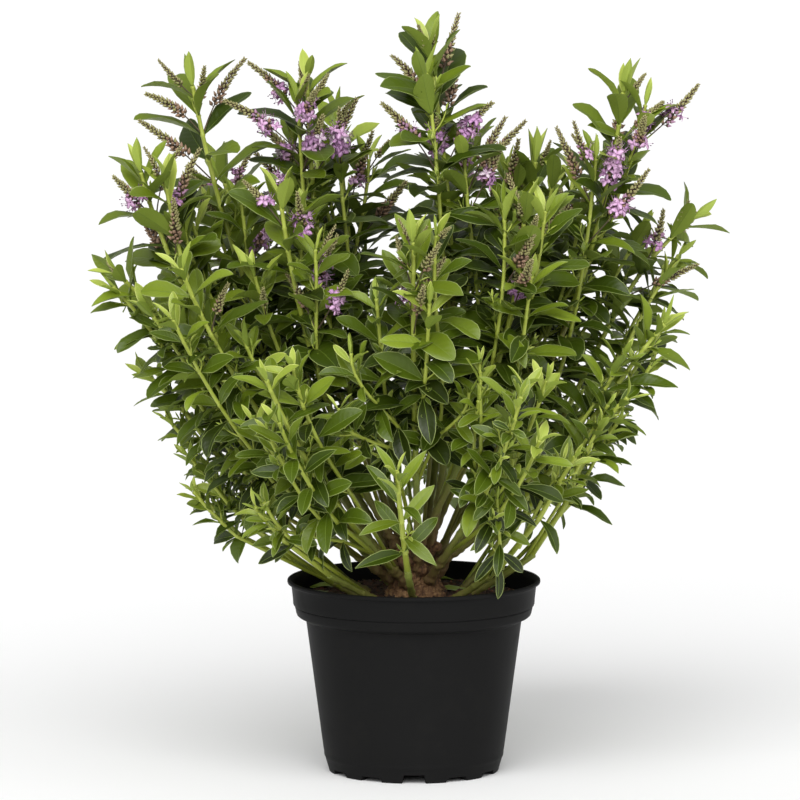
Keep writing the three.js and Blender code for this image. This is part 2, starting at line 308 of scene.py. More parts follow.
def triangles(node):
    """The corners of a node's triangles, as triangles x 3 x 3."""
    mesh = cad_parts[node].data
    points = np.empty(len(mesh.vertices) * 3, np.float32)
    mesh.vertices.foreach_get("co", points)
    mesh.calc_loop_triangles()
    corners = np.empty(len(mesh.loop_triangles) * 3, np.int32)
    mesh.loop_triangles.foreach_get("vertices", corners)
    return points.reshape(-1, 3).astype(float)[corners].reshape(-1, 3, 3)


def slice_middle(tri, point, way):
    """Middle and radius of a solid where the plane at point square to way cuts it: the cut's
    outline, one piece from each triangle, gives area and centroid by the shoelace formula."""
    height = (tri - point) @ way
    above = height > 0
    lone_side = above.sum(1) == 1
    cut = lone_side | (above.sum(1) == 2)
    tri, height, above, lone_side = tri[cut], height[cut], above[cut], lone_side[cut]
    lone = np.argmax(above == lone_side[:, None], axis=1)
    row = np.arange(len(tri))
    ends = []
    for step in (1, 2):
        other = (lone + step) % 3
        a, b = height[row, lone], height[row, other]
        part = (tri[row, other] - tri[row, lone]) * (a / (a - b))[:, None]
        ends.append(tri[row, lone] + part - point)
    size = np.cross(ends[0], ends[1]) @ way / 2 * np.where(lone_side, 1, -1)
    area = size.sum()
    middle = (size[:, None] * (ends[0] + ends[1])).sum(0) / (3 * area)
    return point + middle, math.sqrt(abs(area) / math.pi)


BOUGH_CUTS, MASS_CUTS = 4, 12  # slices across a bough and across its mass
FIRM = 3.0  # how firmly a limb's line keeps to its bough and its ends, against 1 in the mass
LIMB_POINTS = 61


def limb(name):
    """A shoot's line from the foot of its bough to the tip of its mass, where its bough ends along
    it, and the mass's radius: slices of both solids across the straight line between those ends,
    with a cubic laid through."""
    bough, mass = triangles("bough_" + name), triangles("foliage_" + name)
    b, m = (np.unique(np.round(t.reshape(-1, 3), 6), axis=0) for t in (bough, mass))
    way = unit(m.mean(0) - b.mean(0))
    foot = b[b @ way <= (b @ way).min() + 3 * MM].mean(0)
    tip = m[m @ way >= (m @ way).max() - 4 * MM].mean(0)
    mouth = b[b @ way >= (b @ way).max() - 1.5 * MM].mean(0)
    chord = tip - foot
    way = unit(chord)
    gate = (mouth - foot) @ chord / (chord @ chord)
    on_bough = np.linspace(0.25, 0.85, BOUGH_CUTS) * gate
    on_mass = gate + (1 - gate) * np.linspace(0.06, 0.94, MASS_CUTS)
    cuts = [slice_middle(bough, foot + t * chord, way) for t in on_bough]
    cuts += [slice_middle(mass, foot + t * chord, way) for t in on_mass]
    middles = np.array([foot, *[c[0] for c in cuts], tip])
    marks = np.r_[0, on_bough, on_mass, 1]
    weight = np.r_[np.full(1 + BOUGH_CUTS, FIRM), np.ones(MASS_CUTS), FIRM]
    t = np.linspace(0, 1, LIMB_POINTS)
    line = np.stack([np.polyval(np.polyfit(marks, c, 3, w=weight), t) for c in middles.T], 1)
    way = way_along(line)
    room = np.array([c[1] for c in cuts[BOUGH_CUTS:]])
    return line, float(np.interp(gate, t, way)), np.interp(on_mass, t, way), room


# ---- meshes -------------------------------------------------------------------------------------


class Piece:
    """One named piece, put together from whole arrays of like shapes."""

    def __init__(self):
        self.points, self.groups, self.creases, self.count = [], [], [], 0

    def add(self, points, *groups, creases=()):
        """points is shapes x points x 3. Each group has faces x corners in a shape's own numbering,
        the finish of each face (faces, or shapes x faces), and its corners' map places (faces x
        corners x 2)."""
        shapes, size = points.shape[:2]
        shift = self.count + size * np.arange(shapes)
        for faces, finish, places in groups:
            finish = np.broadcast_to(finish, (shapes, len(faces)))
            places = np.broadcast_to(places, (shapes, *faces.shape, 2))
            self.groups.append((faces[None] + shift[:, None, None], finish, places))
        if len(creases):
            self.creases.append((np.asarray(creases)[None] + shift[:, None, None]).reshape(-1, 2))
        self.points.append(points.reshape(-1, 3))
        self.count += shapes * size

    def add_rings(
        self, points, cols, along, finish=0, end_finish=None, around=None, end=0.5, shift=0
    ):
        """Adds closed bodies made of rings of cols points. along and around are their places on the
        map, which are moved by shift, and end is the place of both ends. The ends have a finish of
        their own or the sides'."""
        quads, ends = rings(points.shape[1] // cols, cols)
        around = np.linspace(0, 1, cols + 1) if around is None else around
        end_finish = finish if end_finish is None else end_finish
        self.add(
            points,
            (quads, finish, ring_places(around, along) + shift),
            (ends, end_finish, np.full((2, cols, 2), end)),
        )

    def finished(self, name, finishes, slot=None, replaces=(), smooth=True):
        """The piece as an object that rides on the root body."""
        mesh = bpy.data.meshes.new(name)
        points = np.concatenate(self.points).astype(np.float32)
        faces, finish, places = zip(*self.groups)
        sizes = np.concatenate([np.full(f[..., 0].size, f.shape[-1]) for f in faces])
        corners = np.concatenate([f.reshape(-1) for f in faces]).astype(np.int32)
        mesh.vertices.add(len(points))
        mesh.vertices.foreach_set("co", points.ravel())
        mesh.loops.add(len(corners))
        mesh.loops.foreach_set("vertex_index", corners)
        mesh.polygons.add(len(sizes))
        starts = np.r_[0, np.cumsum(sizes)[:-1]].astype(np.int32)
        mesh.polygons.foreach_set("loop_start", starts)
        finish = np.concatenate([m.reshape(-1) for m in finish]).astype(np.int32)
        mesh.polygons.foreach_set("material_index", finish)
        mesh.polygons.foreach_set("use_smooth", np.full(len(sizes), smooth))
        places = np.concatenate([p.reshape(-1) for p in places]).astype(np.float32)
        mesh.uv_layers.new(name=MAP).data.foreach_set("uv", places)
        mesh.update(calc_edges=True)
        if self.creases:
            ends = np.empty(len(mesh.edges) * 2, np.int32)
            mesh.edges.foreach_get("vertices", ends)
            edges, creases = (
                np.sort(x.astype(np.int64), axis=1) @ np.array([self.count, 1])
                for x in (ends.reshape(-1, 2), np.concatenate(self.creases))
            )
            sharp = mesh.attributes.new("sharp_edge", "BOOLEAN", "EDGE")
            sharp.data.foreach_set("value", np.isin(edges, creases))
        if mesh.validate():
            raise RuntimeError(f"{name} has faces that Blender had to mend")
        for f in finishes:
            mesh.materials.append(f)
        made = bpy.data.objects.new(name, mesh)
        bpy.context.scene.collection.objects.link(made)
        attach(made, "root")
        if replaces:
            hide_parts(*replaces)
        return made


def rings(rows, cols):
    """Faces of a closed surface of rows rings, each of cols points: quads from ring to ring, and
    both ends."""
    i, j = np.meshgrid(np.arange(rows - 1), np.arange(cols), indexing="ij")
    a, b = i * cols + j, i * cols + (j + 1) % cols
    quads = np.stack([a, b, b + cols, a + cols], -1).reshape(-1, 4)
    ends = np.stack([np.arange(cols)[::-1], (rows - 1) * cols + np.arange(cols)])
    return quads, ends


def ring_places(u, v):
    """Map places of the quads of rings: u has one more value than a ring has points, v one for each
    ring."""
    left, right = np.asarray(u)[:-1], np.asarray(u)[1:]
    low, high = np.asarray(v)[:-1, None], np.asarray(v)[1:, None]
    left, right, low, high = np.broadcast_arrays(left[None], right[None], low, high)
    corners = ((left, low), (right, low), (right, high), (left, high))
    return np.stack([np.stack(p, -1) for p in corners], -2).reshape(-1, 4, 2)


def tube(line, radius, cols, turn=0.0, relief=None):
    """A profile carried along a line: at each point a ring of the radius there, square to the line,
    times 1 plus the relief. line is (tubes x) rows x 3."""
    line = line if line.ndim == 3 else line[None]
    way = unit(np.gradient(line, axis=1))
    chord = unit(line[:, -1] - line[:, 0])
    side = across(chord, np.zeros(len(line)))[:, None]
    side = unit(side - (side * way).sum(-1, keepdims=True) * way)
    other = np.cross(way, side)
    round_ = np.arange(cols) * TURN / cols + turn
    spoke = side[:, :, None] * np.cos(round_)[:, None] + other[:, :, None] * np.sin(round_)[:, None]
    size = np.broadcast_to(np.asarray(radius)[..., None], (*line.shape[:2], cols))
    if relief is not None:
        size = size * (1 + relief)
    return (line[:, :, None] + spoke * size[..., None]).reshape(len(line), -1, 3)


def spindles(foot, way, long, wide, profile, cols, turn=0.0):
    """Small closed bodies: rings square to the way, with heights and radii from the profile's two
    rows."""
    height, size = np.array(profile, float)
    long, wide, turn = (np.broadcast_to(x, len(foot))[:, None] for x in (long, wide, turn))
    centre = foot[:, None] + way[:, None] * (height * long)[..., None]
    angles = turn + np.arange(cols) * TURN / cols
    side = across(way, np.zeros(len(way)))
    other = np.cross(way, side)
    spoke = side[:, None] * np.cos(angles)[..., None] + other[:, None] * np.sin(angles)[..., None]
    out = centre[:, :, None] + spoke[:, None] * (wide * size)[..., None, None]
    return out.reshape(len(foot), -1, 3)


# ---- finishes -----------------------------------------------------------------------------------


class Value:
    """A shader socket that Python's operators work on: each one adds its Math node."""

    def __init__(self, finish, socket):
        self.finish, self.socket = finish, socket

    def maths(self, operation, *others):
        return self.finish.node("Math", {"operation": operation}, dict(enumerate((self, *others))))

    def __add__(self, other):
        return self.maths("ADD", other)

    def __sub__(self, other):
        return self.maths("SUBTRACT", other)

    def __rsub__(self, other):
        return self.finish.node("Math", {"operation": "SUBTRACT"}, {0: other, 1: self})

    def __mul__(self, other):
        return self.maths("MULTIPLY", other)

    __radd__, __rmul__ = __add__, __mul__


class Finish:
    """A material under construction, with its Principled shader."""

    def __init__(self, name, base, roughness, **plain):
        self.material = bpy.data.materials.new(name)
        self.material.use_nodes = True
        self.tree = self.material.node_tree
        self.shader = next(n for n in self.tree.nodes if n.type == "BSDF_PRINCIPLED")
        self.feed(Base_Color=(*base, 1.0), Roughness=roughness, **plain)

    def put(self, socket, value):
        if isinstance(value, Value):
            self.tree.links.new(value.socket, socket)
        else:
            socket.default_value = value

    def feed(self, **values):
        """Values or links of the shader's own sockets."""
        for name, value in values.items():
            self.put(self.shader.inputs[name.replace("_", " ")], value)

    def node(self, kind, settings=None, inputs=None, output=0):
        """Adds a node: its settings first, then the values or links of its sockets."""
        made = self.tree.nodes.new("ShaderNode" + kind)
        for name, value in (settings or {}).items():
            if name == "stops":
                ramp = made.color_ramp.elements
                for _ in value[2:]:
                    ramp.new(0.5)
                for stop, (place, tone) in zip(ramp, value):
                    stop.position, stop.color = place, (*tone, 1.0)
            else:
                setattr(made, name, value)
        for key, value in (inputs or {}).items():
            self.put(made.inputs[key], value)
        return Value(self, made.outputs[output])

    def on_object(self):
        return self.node("TexCoord", output="Object")

    def on_map(self):
        return self.node("UVMap", {"uv_map": MAP})

    def parts(self, vector):
        """The first two parts of a vector."""
        return tuple(self.node("SeparateXYZ", None, {0: vector}, output=i) for i in (0, 1))

    def stretched(self, vector, *scale):
        return self.node("Mapping", None, {"Vector": vector, "Scale": scale})

    def noise(self, vector, scale, detail=3.0, roughness=0.55):
        inputs = {"Vector": vector, "Scale": scale, "Detail": detail, "Roughness": roughness}
        return self.node("TexNoise", None, inputs)

    def mix(self, factor, first, second):
        first, second = ((*c, 1.0) if isinstance(c, (tuple, list)) else c for c in (first, second))
        inputs = {"Factor": factor, 6: first, 7: second}
        return self.node("Mix", {"data_type": "RGBA"}, inputs, output=2)

    def ramp(self, value, *stops):
        return self.node("ValToRGB", {"stops": stops}, {0: value})

    def clear(self, value, low, high):
        """0 below low, 1 above high, smooth between."""
        inputs = {"Value": value, "From Min": low, "From Max": high}
        return self.node("MapRange", {"interpolation_type": "SMOOTHSTEP"}, inputs)

    def bump(self, height, strength, distance):
        inputs = {"Height": height, "Strength": strength, "Distance": distance}
        self.feed(Normal=self.node("Bump", None, inputs))


def tone(settings, name):
    return tuple(getattr(settings, name))


UNDER = 0.6  # where the map of a leaf passes from its upper side to its underside
VEINS = 58.0  # how fast the side veins follow one another along a leaf


def leaf_finish(name, base):
    """A leaf side's plain colour, with mottled gloss and side veins that run up from the midrib."""
    f = Finish(name, base, 0.4, Specular_IOR_Level=0.31)
    place = f.on_map()
    u, v = f.parts(place)
    under = f.clear(u, UNDER - 0.001, UNDER + 0.001)
    middle = under * (0.5 + UNDER / 2) + (1 - under) * (UNDER / 2)
    aside = (u - middle).maths("ABSOLUTE")
    vein = ((v - aside * 0.9) * VEINS).maths("SINE")
    mottle = f.noise(f.stretched(place, 9.0, 16.0, 1.0), 1.0, 4.0, 0.6)
    f.feed(Roughness=mottle * 0.2 + under * 0.2 + 0.25)
    f.bump(vein * 0.35 + mottle * 1.4, 0.55, 0.16 * MM)
    return f.material


# Grain along the map: how often it repeats across and along, how uneven it is, the least roughness
# and its range, and the bump's strength and its height in mm.
STEM_GRAIN = (16.0, 1.2, 0.5, 0.33, 0.25, 0.6, 0.2)
PETAL_GRAIN = (14.0, 1.5, 0.5, 0.45, 0.2, 0.4, 0.12)
BUD_GRAIN = (14.0, 1.5, 0.5, 0.5, 0.2, 0.4, 0.12)
CRUMB_GRAIN = (7.0, 2.0, 0.6, 0.72, 0.25, 0.8, 0.3)


def grained(settings, prefix, names, grain):
    """Grained finishes in some of the settings' colours."""
    return [grained_finish(prefix + n, tone(settings, n), grain) for n in names]


def grained_finish(name, base, grain):
    """A plain colour with fine ridges along it and uneven gloss."""
    often, along, uneven, least, more, strong, high = grain
    f = Finish(name, base, least)
    fine = f.noise(f.stretched(f.on_map(), often, along, 1.0), 1.0, 3.0, uneven)
    f.feed(Roughness=fine * more + least)
    f.bump(fine, strong, high * MM)
    return f.material


# ---- how the shrub grows ------------------------------------------------------------------------

LOWEST_TIP, HIGHEST_TIP = 0.20, 0.46  # heights between which leaves go from low to long
LIGHT_SIDE = np.array([-0.15, -0.62, 0.7]) * 0.92  # where the light is that the leaves turn to
PAINTED_SHADE_TOP = 0.46  # height above which no leaf's tint is painted darker for the shade of the crown
INNER = 120 * MM  # how far from the axis the crown's painted shade reaches
RIPE = 0.22  # metres under its tip where a stem turns olive
SIDE_POINTS = 25


class Shoot:
    """One leafy shoot: its line, how thick it is, where its leaves begin and how long they grow."""

    def __init__(self, region, line, thick, bare, leaf, gap, order, trait):
        self.region, self.line, self.thick, self.bare = region, line, thick, bare
        self.leaf, self.gap, self.order, self.trait = leaf, gap, order, trait


def leaf_length(leaves, height):
    """Longest leaf of a shoot whose tip is at a height."""
    up = min(max((height - LOWEST_TIP) / (HIGHEST_TIP - LOWEST_TIP), 0), 1)
    return leaves.shortest + (leaves.longest - leaves.shortest) * up


def side_line(line, room_at, room, start, end, turn, spread, leaving):
    """A side shoot's line: it leaves the main one at start, swings out to spread times the room,
    and ends beside the main line at end, as a cubic curve. start and end are distances from the
    foot, and leaving is how far it turns aside at first."""
    (p0, t0), (p1, t1) = at(line, start), at(line, end)
    out = across(t1, turn)
    tip = p1 + out * np.interp(end, room_at, room) * spread
    out0 = across(t0, turn)
    far = np.linalg.norm(tip - p0)
    leave = unit(t0 + leaving * out0)
    arrive = unit(t1 + 0.12 * out + 0.22 * UP)
    return bezier(p0, p0 + leave * 0.36 * far, tip - arrive * 0.36 * far, tip, SIDE_POINTS)


class Trait:
    """What sets a mass's shoots apart from the others."""

    many = None  # side shoots, where it isn't as many as the mass has room for
    low = False  # whether all of them leave the bough near its foot
    slim, leaf, spread = 1.0, 1.0, 1.0  # leaf width, leaf length and side shoots' spread, as shares
    bow, rise = 0.0, 0.0  # how far the main shoot bows towards the axis and its tip rises, in mm
    bare = 0.0  # how much of each shoot's foot has no leaves, in mm
    sag, sharp, young = 0.0, 0.0, 0.0  # how much leaves sink, are pointed, and look young; on the low front shoots young also stands for the front light on them, as painted light
    small = False  # whether the shoot has draws of its own

    def __init__(self, **own):
        for name, value in own.items():
            setattr(self, name, value)


TRAITS = {
    # young on the low front shoots shifts their leaf tints for how the front light falls on them:
    # painted light and shade.
    "front_low": Trait(many=0, slim=0.8, leaf=1.14, sag=-0.1, sharp=0.1, young=-0.3),
    "front_left_foot": Trait(
        many=1, low=True, slim=0.9, spread=0.7, rise=16, bare=28, sag=0.1, young=0.3
    ),
    "front_right_low": Trait(
        many=1, slim=0.9, spread=0.5, bow=4, rise=26, bare=28, sag=0.1, young=0.2
    ),
    "right_low": Trait(many=3, spread=0.8, bow=16, rise=32, bare=36),
    "left_low": Trait(many=4, low=True, slim=1.3, leaf=0.82, spread=1.0, bow=2, rise=19, bare=34),
    "left_mid": Trait(many=3, low=True, slim=1.15, leaf=0.9, spread=0.8, bow=10, rise=6, bare=18),
    "far_left": Trait(many=5, spread=1.2, bow=18, rise=12),
    "left_upper": Trait(spread=1.1, rise=4),
    "far_right": Trait(many=4, bow=24, rise=-12),
    "right_side": Trait(many=3, spread=0.7, bow=6, rise=4, bare=30),
    "front_left_low": Trait(bare=20),
    "front_right": Trait(bare=12),
    "top_centre": Trait(many=3, spread=0.76),
}
# Small side shoots low on some boughs: the bough, how far up it they leave, where they end, in mm,
# the length of their leaves, in mm, and how much these sink.
LOW_SHOOTS = (
    ("front_centre", 1.0, (-46, -125, 330), 38, 0.1),
    ("front_centre", 0.9, (-55, -128, 290), 36, 0.1),
    ("front_centre", 0.96, (40, -116, 300), 37, 0.1),
    ("front_right", 0.8, (48, -122, 324), 33, 0.1),
    ("front_right", 0.85, (72, -120, 252), 37, 0.2),
    ("front_left", 0.9, (-84, -108, 262), 36, 0.1),
    ("front_right_low", 0.55, (61, -104, 220), 35, 0.6),
    ("front_left_low", 0.5, (-112, -100, 216), 33, 0.3),
    ("back_right_low", 0.5, (66, 96, 206), 34, 0.4),
    ("back_left_low", 0.5, (-76, 88, 206), 34, 0.4),
)


def bowed(line, mouth, trait):
    """A limb's line moved past its mouth. With u from 0 at the mouth to 1 at the tip, it moves
    towards the axis by the bow times u squared times (1 - u), made 1 at its peak, and up by the
    rise times u squared."""
    along = way_along(line)
    u = np.clip((along - mouth) / (along[-1] - mouth), 0, 1)[:, None]
    inward = unit(-line[-1] * LEVEL) + 0.6 * UP
    return line + MM * (trait.bow * 6.75 * u**2 * (1 - u) * inward + trait.rise * u**2 * UP)


LOW_FROM, LOW_TO = 0.08, 0.5  # shares of a bough between which low side shoots leave it
SIDE_SHORTER, SIDE_SLIMMER = 0.82, 0.9  # leaf pair gap and tip radius of a side shoot, as shares


def side_shoot(s, region, limb_parts, j, many, turn, longest, trait, rng):
    """The side shoot j of many on a limb. Every second one leaves the bough low down and runs
    beside it."""
    line, mouth, room_at, room = limb_parts
    whole = way_along(line)[-1]
    low = j % 2 == 1 or trait.low
    start = mouth * rng.uniform(LOW_FROM, LOW_TO)
    if not low:
        start = mouth + (whole - mouth) * (-0.08 + 0.42 * (j + rng.uniform(0, 0.6)) / many)
    end = mouth + (whole - mouth) * rng.uniform(0.62, 0.93)
    turn += GOLDEN + rng.uniform(-0.4, 0.4)
    spread = s.spread * trait.spread * rng.uniform(0.8, 1.15)
    made = side_line(line, room_at, room, start, end, turn, spread, 0.3 if low else 0.62)
    side = way_along(made)[-1]
    bare = (mouth - start + 0.08 * side if low else 0.2 * side) + trait.bare * MM
    thick = (s.side_foot * (1.15 if low else 1), s.tip * SIDE_SLIMMER)
    leaf = longest * rng.uniform(0.68, 0.92)
    return Shoot(region, made, thick, bare, leaf, s.node_gap * SIDE_SHORTER, 1, trait), turn


def low_shoot(s, region, line, mouth, up, tip, leaf, sag):
    """A small side shoot from a bough up to the tip, as a cubic curve."""
    (foot,), (way,) = at(line, np.array([mouth * up]))
    tip = np.array(tip) * MM
    far = np.linalg.norm(tip - foot)
    made = bezier(foot, foot + way * 0.4 * far, tip - UP * 0.3 * far, tip, SIDE_POINTS)
    trait = Trait(sag=sag, small=True)
    thick = (s.side_foot, s.tip * 0.8)
    return Shoot(region, made, thick, 0.3 * far, leaf * MM, s.node_gap * 0.7, 1, trait)


def grow(scene):
    """Every leafy shoot of the plant. A main shoot carries on each bough, and side shoots leave it
    at golden-angle steps in the room that its mass gives."""
    s, leaves = scene.hebe_shoots, scene.hebe_leaves
    rng = np.random.default_rng(s.seed)
    shoots = []
    for region, name in ((region, name) for region, names in REGIONS.items() for name in names):
        line, mouth, room_at, room = limb(name)
        trait = TRAITS.get(name, Trait())
        line = bowed(line, mouth, trait)
        main, _ = at(line, np.linspace(mouth - 2 * MM, way_along(line)[-1] - s.reach, 33))
        longest = leaf_length(leaves, line[-1, 2]) * trait.leaf
        bare = rng.uniform(2, 12) * MM + trait.bare * MM
        thick = (s.bough_end, s.tip)
        shoots.append(Shoot(region, main, thick, bare, longest, s.node_gap, 0, trait))
        many = trait.many if trait.many is not None else round(float(room.max()) / s.room)
        turn = rng.uniform(0, TURN)
        parts = (line, mouth, room_at, room)
        for j in range(many):
            shoot, turn = side_shoot(s, region, parts, j, many, turn, longest, trait, rng)
            shoots.append(shoot)
        for bough, *place in LOW_SHOOTS:
            if bough == name:
                shoots.append(low_shoot(s, region, line, mouth, *place))
    return shoots


NODES_MOST = 44
QUICK = 2.0  # nodes under the tip in which the gaps reach two thirds of a grown one


def pairs_of(shoot, rng):
    """Where a shoot's leaf pairs are: distances under its tip that grow from leaf bud to grown
    stem, and the turn of each pair, a quarter turn on from the last."""
    k = np.arange(NODES_MOST)
    gaps = shoot.gap * (1 - 0.88 * np.exp(-k / QUICK)) * rng.uniform(0.9, 1.1, NODES_MOST)
    under = 0.8 * MM + np.cumsum(gaps) - gaps[0]
    whole = way_along(shoot.line)[-1]
    under = under[under < whole - shoot.bare]
    turn = rng.uniform(0, TURN) + np.arange(len(under)) * TURN / 4 + rng.normal(0, 0.12, len(under))
    return under, turn


def put_leaves(into, shoot, rng, slender):
    """Adds a shoot's leaves: two at each node, on opposite sides. Down from the tip they get
    longer, wider and blunter, stand out further and bend over more."""
    under, turn = pairs_of(shoot, rng)
    whole = way_along(shoot.line)[-1]
    foot, way = at(shoot.line, whole - under)
    k = np.repeat(np.arange(len(under), dtype=float), 2)
    foot, way, under = np.repeat(foot, 2, 0), np.repeat(way, 2, 0), np.repeat(under, 2)
    turn = np.repeat(turn, 2) + np.tile([0, math.pi], len(under) // 2)
    count = len(k)
    trait = shoot.trait
    grown = 1 - np.exp(-(k + 0.2) / 1.7)
    down = under / max(whole, 1e-6)
    high = np.clip((foot[:, 2] - LOWEST_TIP) / (HIGHEST_TIP - LOWEST_TIP), 0, 1)
    if shoot.order > 1:
        high = 0 * high + 1
    long = shoot.leaf * (0.42 + 0.62 * grown) * (0.8 + 0.2 * high) * rng.uniform(0.82, 1.08, count)
    filled = 0.66 + 0.34 * (1 - np.exp(-(k + 0.1) / 1.3))
    slim = slender * trait.slim * (0.84 + 0.16 * high) * filled
    wide = long * slim * rng.uniform(0.88, 1.14, count) / 2
    loose = rng.uniform(0, 24) * np.exp(-k / 1.6)
    lean = 8 + loose + 45 * (1 - np.exp(-k / 2.1)) + 14 * down + rng.normal(0, 10, count)
    lean = np.radians(lean)[:, None]
    out = across(way, turn)
    leaf_way = unit(np.cos(lean) * way + np.sin(lean) * out)
    face = unit(np.sin(lean) * way - np.cos(lean) * out)
    # The upper side turns to the light a little, and long leaves sink.
    sink = (0.05 + 0.16 * down) * grown + trait.sag * (grown + down)
    leaf_way = unit(leaf_way - UP * sink[:, None])
    outward = foot * LEVEL / INNER
    # Painted shade: leaves low in the crown and near its axis get darker tints.
    shaded = np.clip((PAINTED_SHADE_TOP - foot[:, 2]) / PAINTED_SHADE_TOP, 0, 1)
    inner = np.clip(1 - np.linalg.norm(outward, axis=1), 0, 1) * shaded
    face = face + (LIGHT_SIDE + outward * 0.3) * grown[:, None] + rng.normal(0, 0.34, (count, 3))
    face = unit(face - (face * leaf_way).sum(-1, keepdims=True) * leaf_way)
    thick = np.interp(whole - under, [0, whole], shoot.thick)
    ripening_and_painted_shade = (4.6 - 1.2 * high) * np.exp(-k / 1.35) - 1.5 * down - 4 * inner
    blunt = 1.06 - 0.26 * grown - 0.24 * grown * high + trait.sharp
    into.append(dict(
        foot=foot + out * (thick * 0.75)[:, None],
        way=leaf_way,
        face=face,
        long=long,
        wide=wide,
        fold=np.clip(0.7 - 0.4 * grown - 0.1 * high + rng.normal(0, 0.1, count), 0.05, 0.8),
        bend=np.radians(6 + 30 * grown + 14 * down + rng.normal(0, 14, count)),
        twist=rng.normal(0, 0.16, count),
        wave=rng.uniform(0, TURN, (count, 2)),
        blunt=np.clip(blunt + rng.normal(0, 0.09, count), 0.4, 1.1),
        age=2.45 + trait.young + ripening_and_painted_shade + rng.normal(0, 0.95, count),
    ))
    return under, turn[::2], whole


BLADE_ROWS = (0.0, 0.08, 0.25, 0.45, 0.64, 0.79, 0.9, 0.97, 1.0)
BLADELET_ROWS = (0.0, 0.16, 0.45, 0.75, 0.93, 1.0)
ARROW = 0.95  # how fast a blade widens from its foot
WAVES = 7.5  # how far a margin's wave turns from the foot of a blade to its tip
RIB_DEEP = 0.12 * MM  # how deep the midrib lies in its groove


def outline(v, blunt):
    """Half width of a blade along it, from 0 to 1: v to the power ARROW times (1 - v) to the power
    blunt."""
    shape = np.maximum(v, 0) ** ARROW * np.maximum(1 - v, 0) ** blunt
    top = ARROW / (ARROW + blunt)
    return np.clip(shape / (top**ARROW * (1 - top) ** blunt), 0.06, 1)


def blades(c, rows, leaves, whole):
    """Leaf blades as closed rings of points along their midribs. The midrib is an arc that bends
    back from the upper side. Across it a ring goes out along the upper side from margin to margin,
    with a groove for the rib, and back underneath over a keel. whole says that each half has a
    column of points at its middle too."""
    v = np.array(rows)
    n = len(c["long"])
    steps = np.diff(v)
    tilt = -c["bend"][:, None] * (v[1:] + v[:-1]) / 2
    ahead, rise = (
        (np.cumsum(np.c_[np.zeros(n), part * steps], 1) * c["long"][:, None])[..., None]
        for part in (np.cos(tilt), np.sin(tilt))
    )
    tilt = (-c["bend"][:, None] * v)[..., None]
    way, face = c["way"][:, None], c["face"][:, None]
    side = np.cross(way, face)
    lift = np.cos(tilt) * face - np.sin(tilt) * way
    twist = (c["twist"][:, None] * v)[..., None]
    cos, sin = np.cos(twist), np.sin(twist)
    side, lift = side * cos + lift * sin, lift * cos - side * sin
    spine = c["foot"][:, None] + way * ahead + face * rise
    half = c["wide"][:, None] * outline(v, c["blunt"][:, None])
    edge = np.maximum(half - leaves.margin, 0.6 * half)
    rib = np.minimum(leaves.rib / 2 * (1 - 0.5 * v), 0.3 * half)
    belly = 0.55 * half
    fold = c["fold"][:, None]
    full = 0.07 * half
    # How far out and how high each column of the upper side is, from the margin to the rib.
    upper = [
        (half, fold * half),
        (edge, fold * edge + 0.3 * full),
        (belly, fold * belly + full),
        (rib, 0 * half - RIB_DEEP),
    ]
    if not whole:
        del upper[2]
    low = -leaves.thickness * np.sin(np.pi * np.clip(v, 0.08, 0.94)) ** 0.5 - RIB_DEEP + 0 * half
    ring = [(-x, y) for x, y in upper] + upper[::-1] + [(rib * 1.3, low), (-rib * 1.3, low)]
    x, y = (np.stack(part, -1)[..., None] for part in zip(*ring))
    # Each margin waves up and down by itself, with what lies next to it.
    waves = zip((1, -1), (0, 2 * len(upper) - 1), c["wave"].T)
    for step, margin, phase in waves:
        sway = leaves.wave * np.sin(phase[:, None] + WAVES * v)
        for column, reach in enumerate((half, edge, belly)[: len(upper) - 1]):
            y[:, :, margin + step * column, 0] += reach * sway
    points = spine[:, :, None] + side[:, :, None] * x + lift[:, :, None] * y
    return points.reshape(n, -1, 3)


TINTS = ("deep", "dark", "shade", "grown", "fresh", "light", "young")
UNDERS = ("under_old", "under_grown", "under_young")
LEAF_FINISHES = (*TINTS, *UNDERS, "margin_grown", "margin_young", "rib_grown", "rib_young")
OLD_TINTS, YOUNG_TINTS = 1.5, 4.5


def add_blades(piece, c, rows, leaves, whole):
    """Adds the blades to a piece, each with plain colours by its age, made darker inside the crown
    as painted shade: its halves, its underside, its margin and its midrib."""
    half = 4 if whole else 3
    cols = 2 * half + 2
    quads, ends = rings(len(rows), cols)
    age = np.clip(np.round(c["age"]), 0, len(TINTS) - 1)
    young = age > YOUNG_TINTS
    under = len(TINTS) + (age > OLD_TINTS).astype(int) + young
    margin = len(TINTS) + len(UNDERS) + young
    rib = margin + 2
    side = [margin] + [age] * (half - 2)
    by_col = np.stack([*side, rib, *side[::-1], under, rib, under], 1)
    finish = np.tile(by_col, (1, len(rows) - 1))
    across_map = np.r_[np.linspace(0, UNDER, 2 * half), 0.77, 0.83, 1.0]
    end_places = np.broadcast_to(np.array([[0.3, 0.0], [0.3, 1.0]])[:, None], (2, cols, 2))
    # The margins and the tip stay sharp.
    row = np.arange(len(rows) - 1) * cols
    creases = [np.stack([row + col, row + col + cols], 1) for col in (0, 2 * half - 1)]
    tip = (len(rows) - 1) * cols + np.arange(cols)
    creases.append(np.stack([tip, np.roll(tip, -1)], 1))
    piece.add(
        blades(c, rows, leaves, whole),
        (quads, finish, ring_places(across_map, rows)),
        (ends, np.stack([under, margin], 1), end_places),
        creases=np.concatenate(creases),
    )


# ---- the pot and its compost --------------------------------------------------------------------

SLOTS = 12
DEEP_EVERY = 3
PLATE_RINGS = 5
PLATE_SIDE = 12  # columns along each straight side of a quarter of a plate
POT_COLS = 192
NUDGE = 0.012  # radians from a slot's edge to the column on each side of it
HAIR = 1e-6
SHARP = math.radians(38)  # between two faces, past which their edge stays sharp
SAME, NOTHING = 0.02 * MM, 0.001 * MM  # how near two points are one, and how short an edge is none
FOOT_STEP = 0.3 * MM  # how far under the body's foot the feet begin
FOOT_ROWS = 6
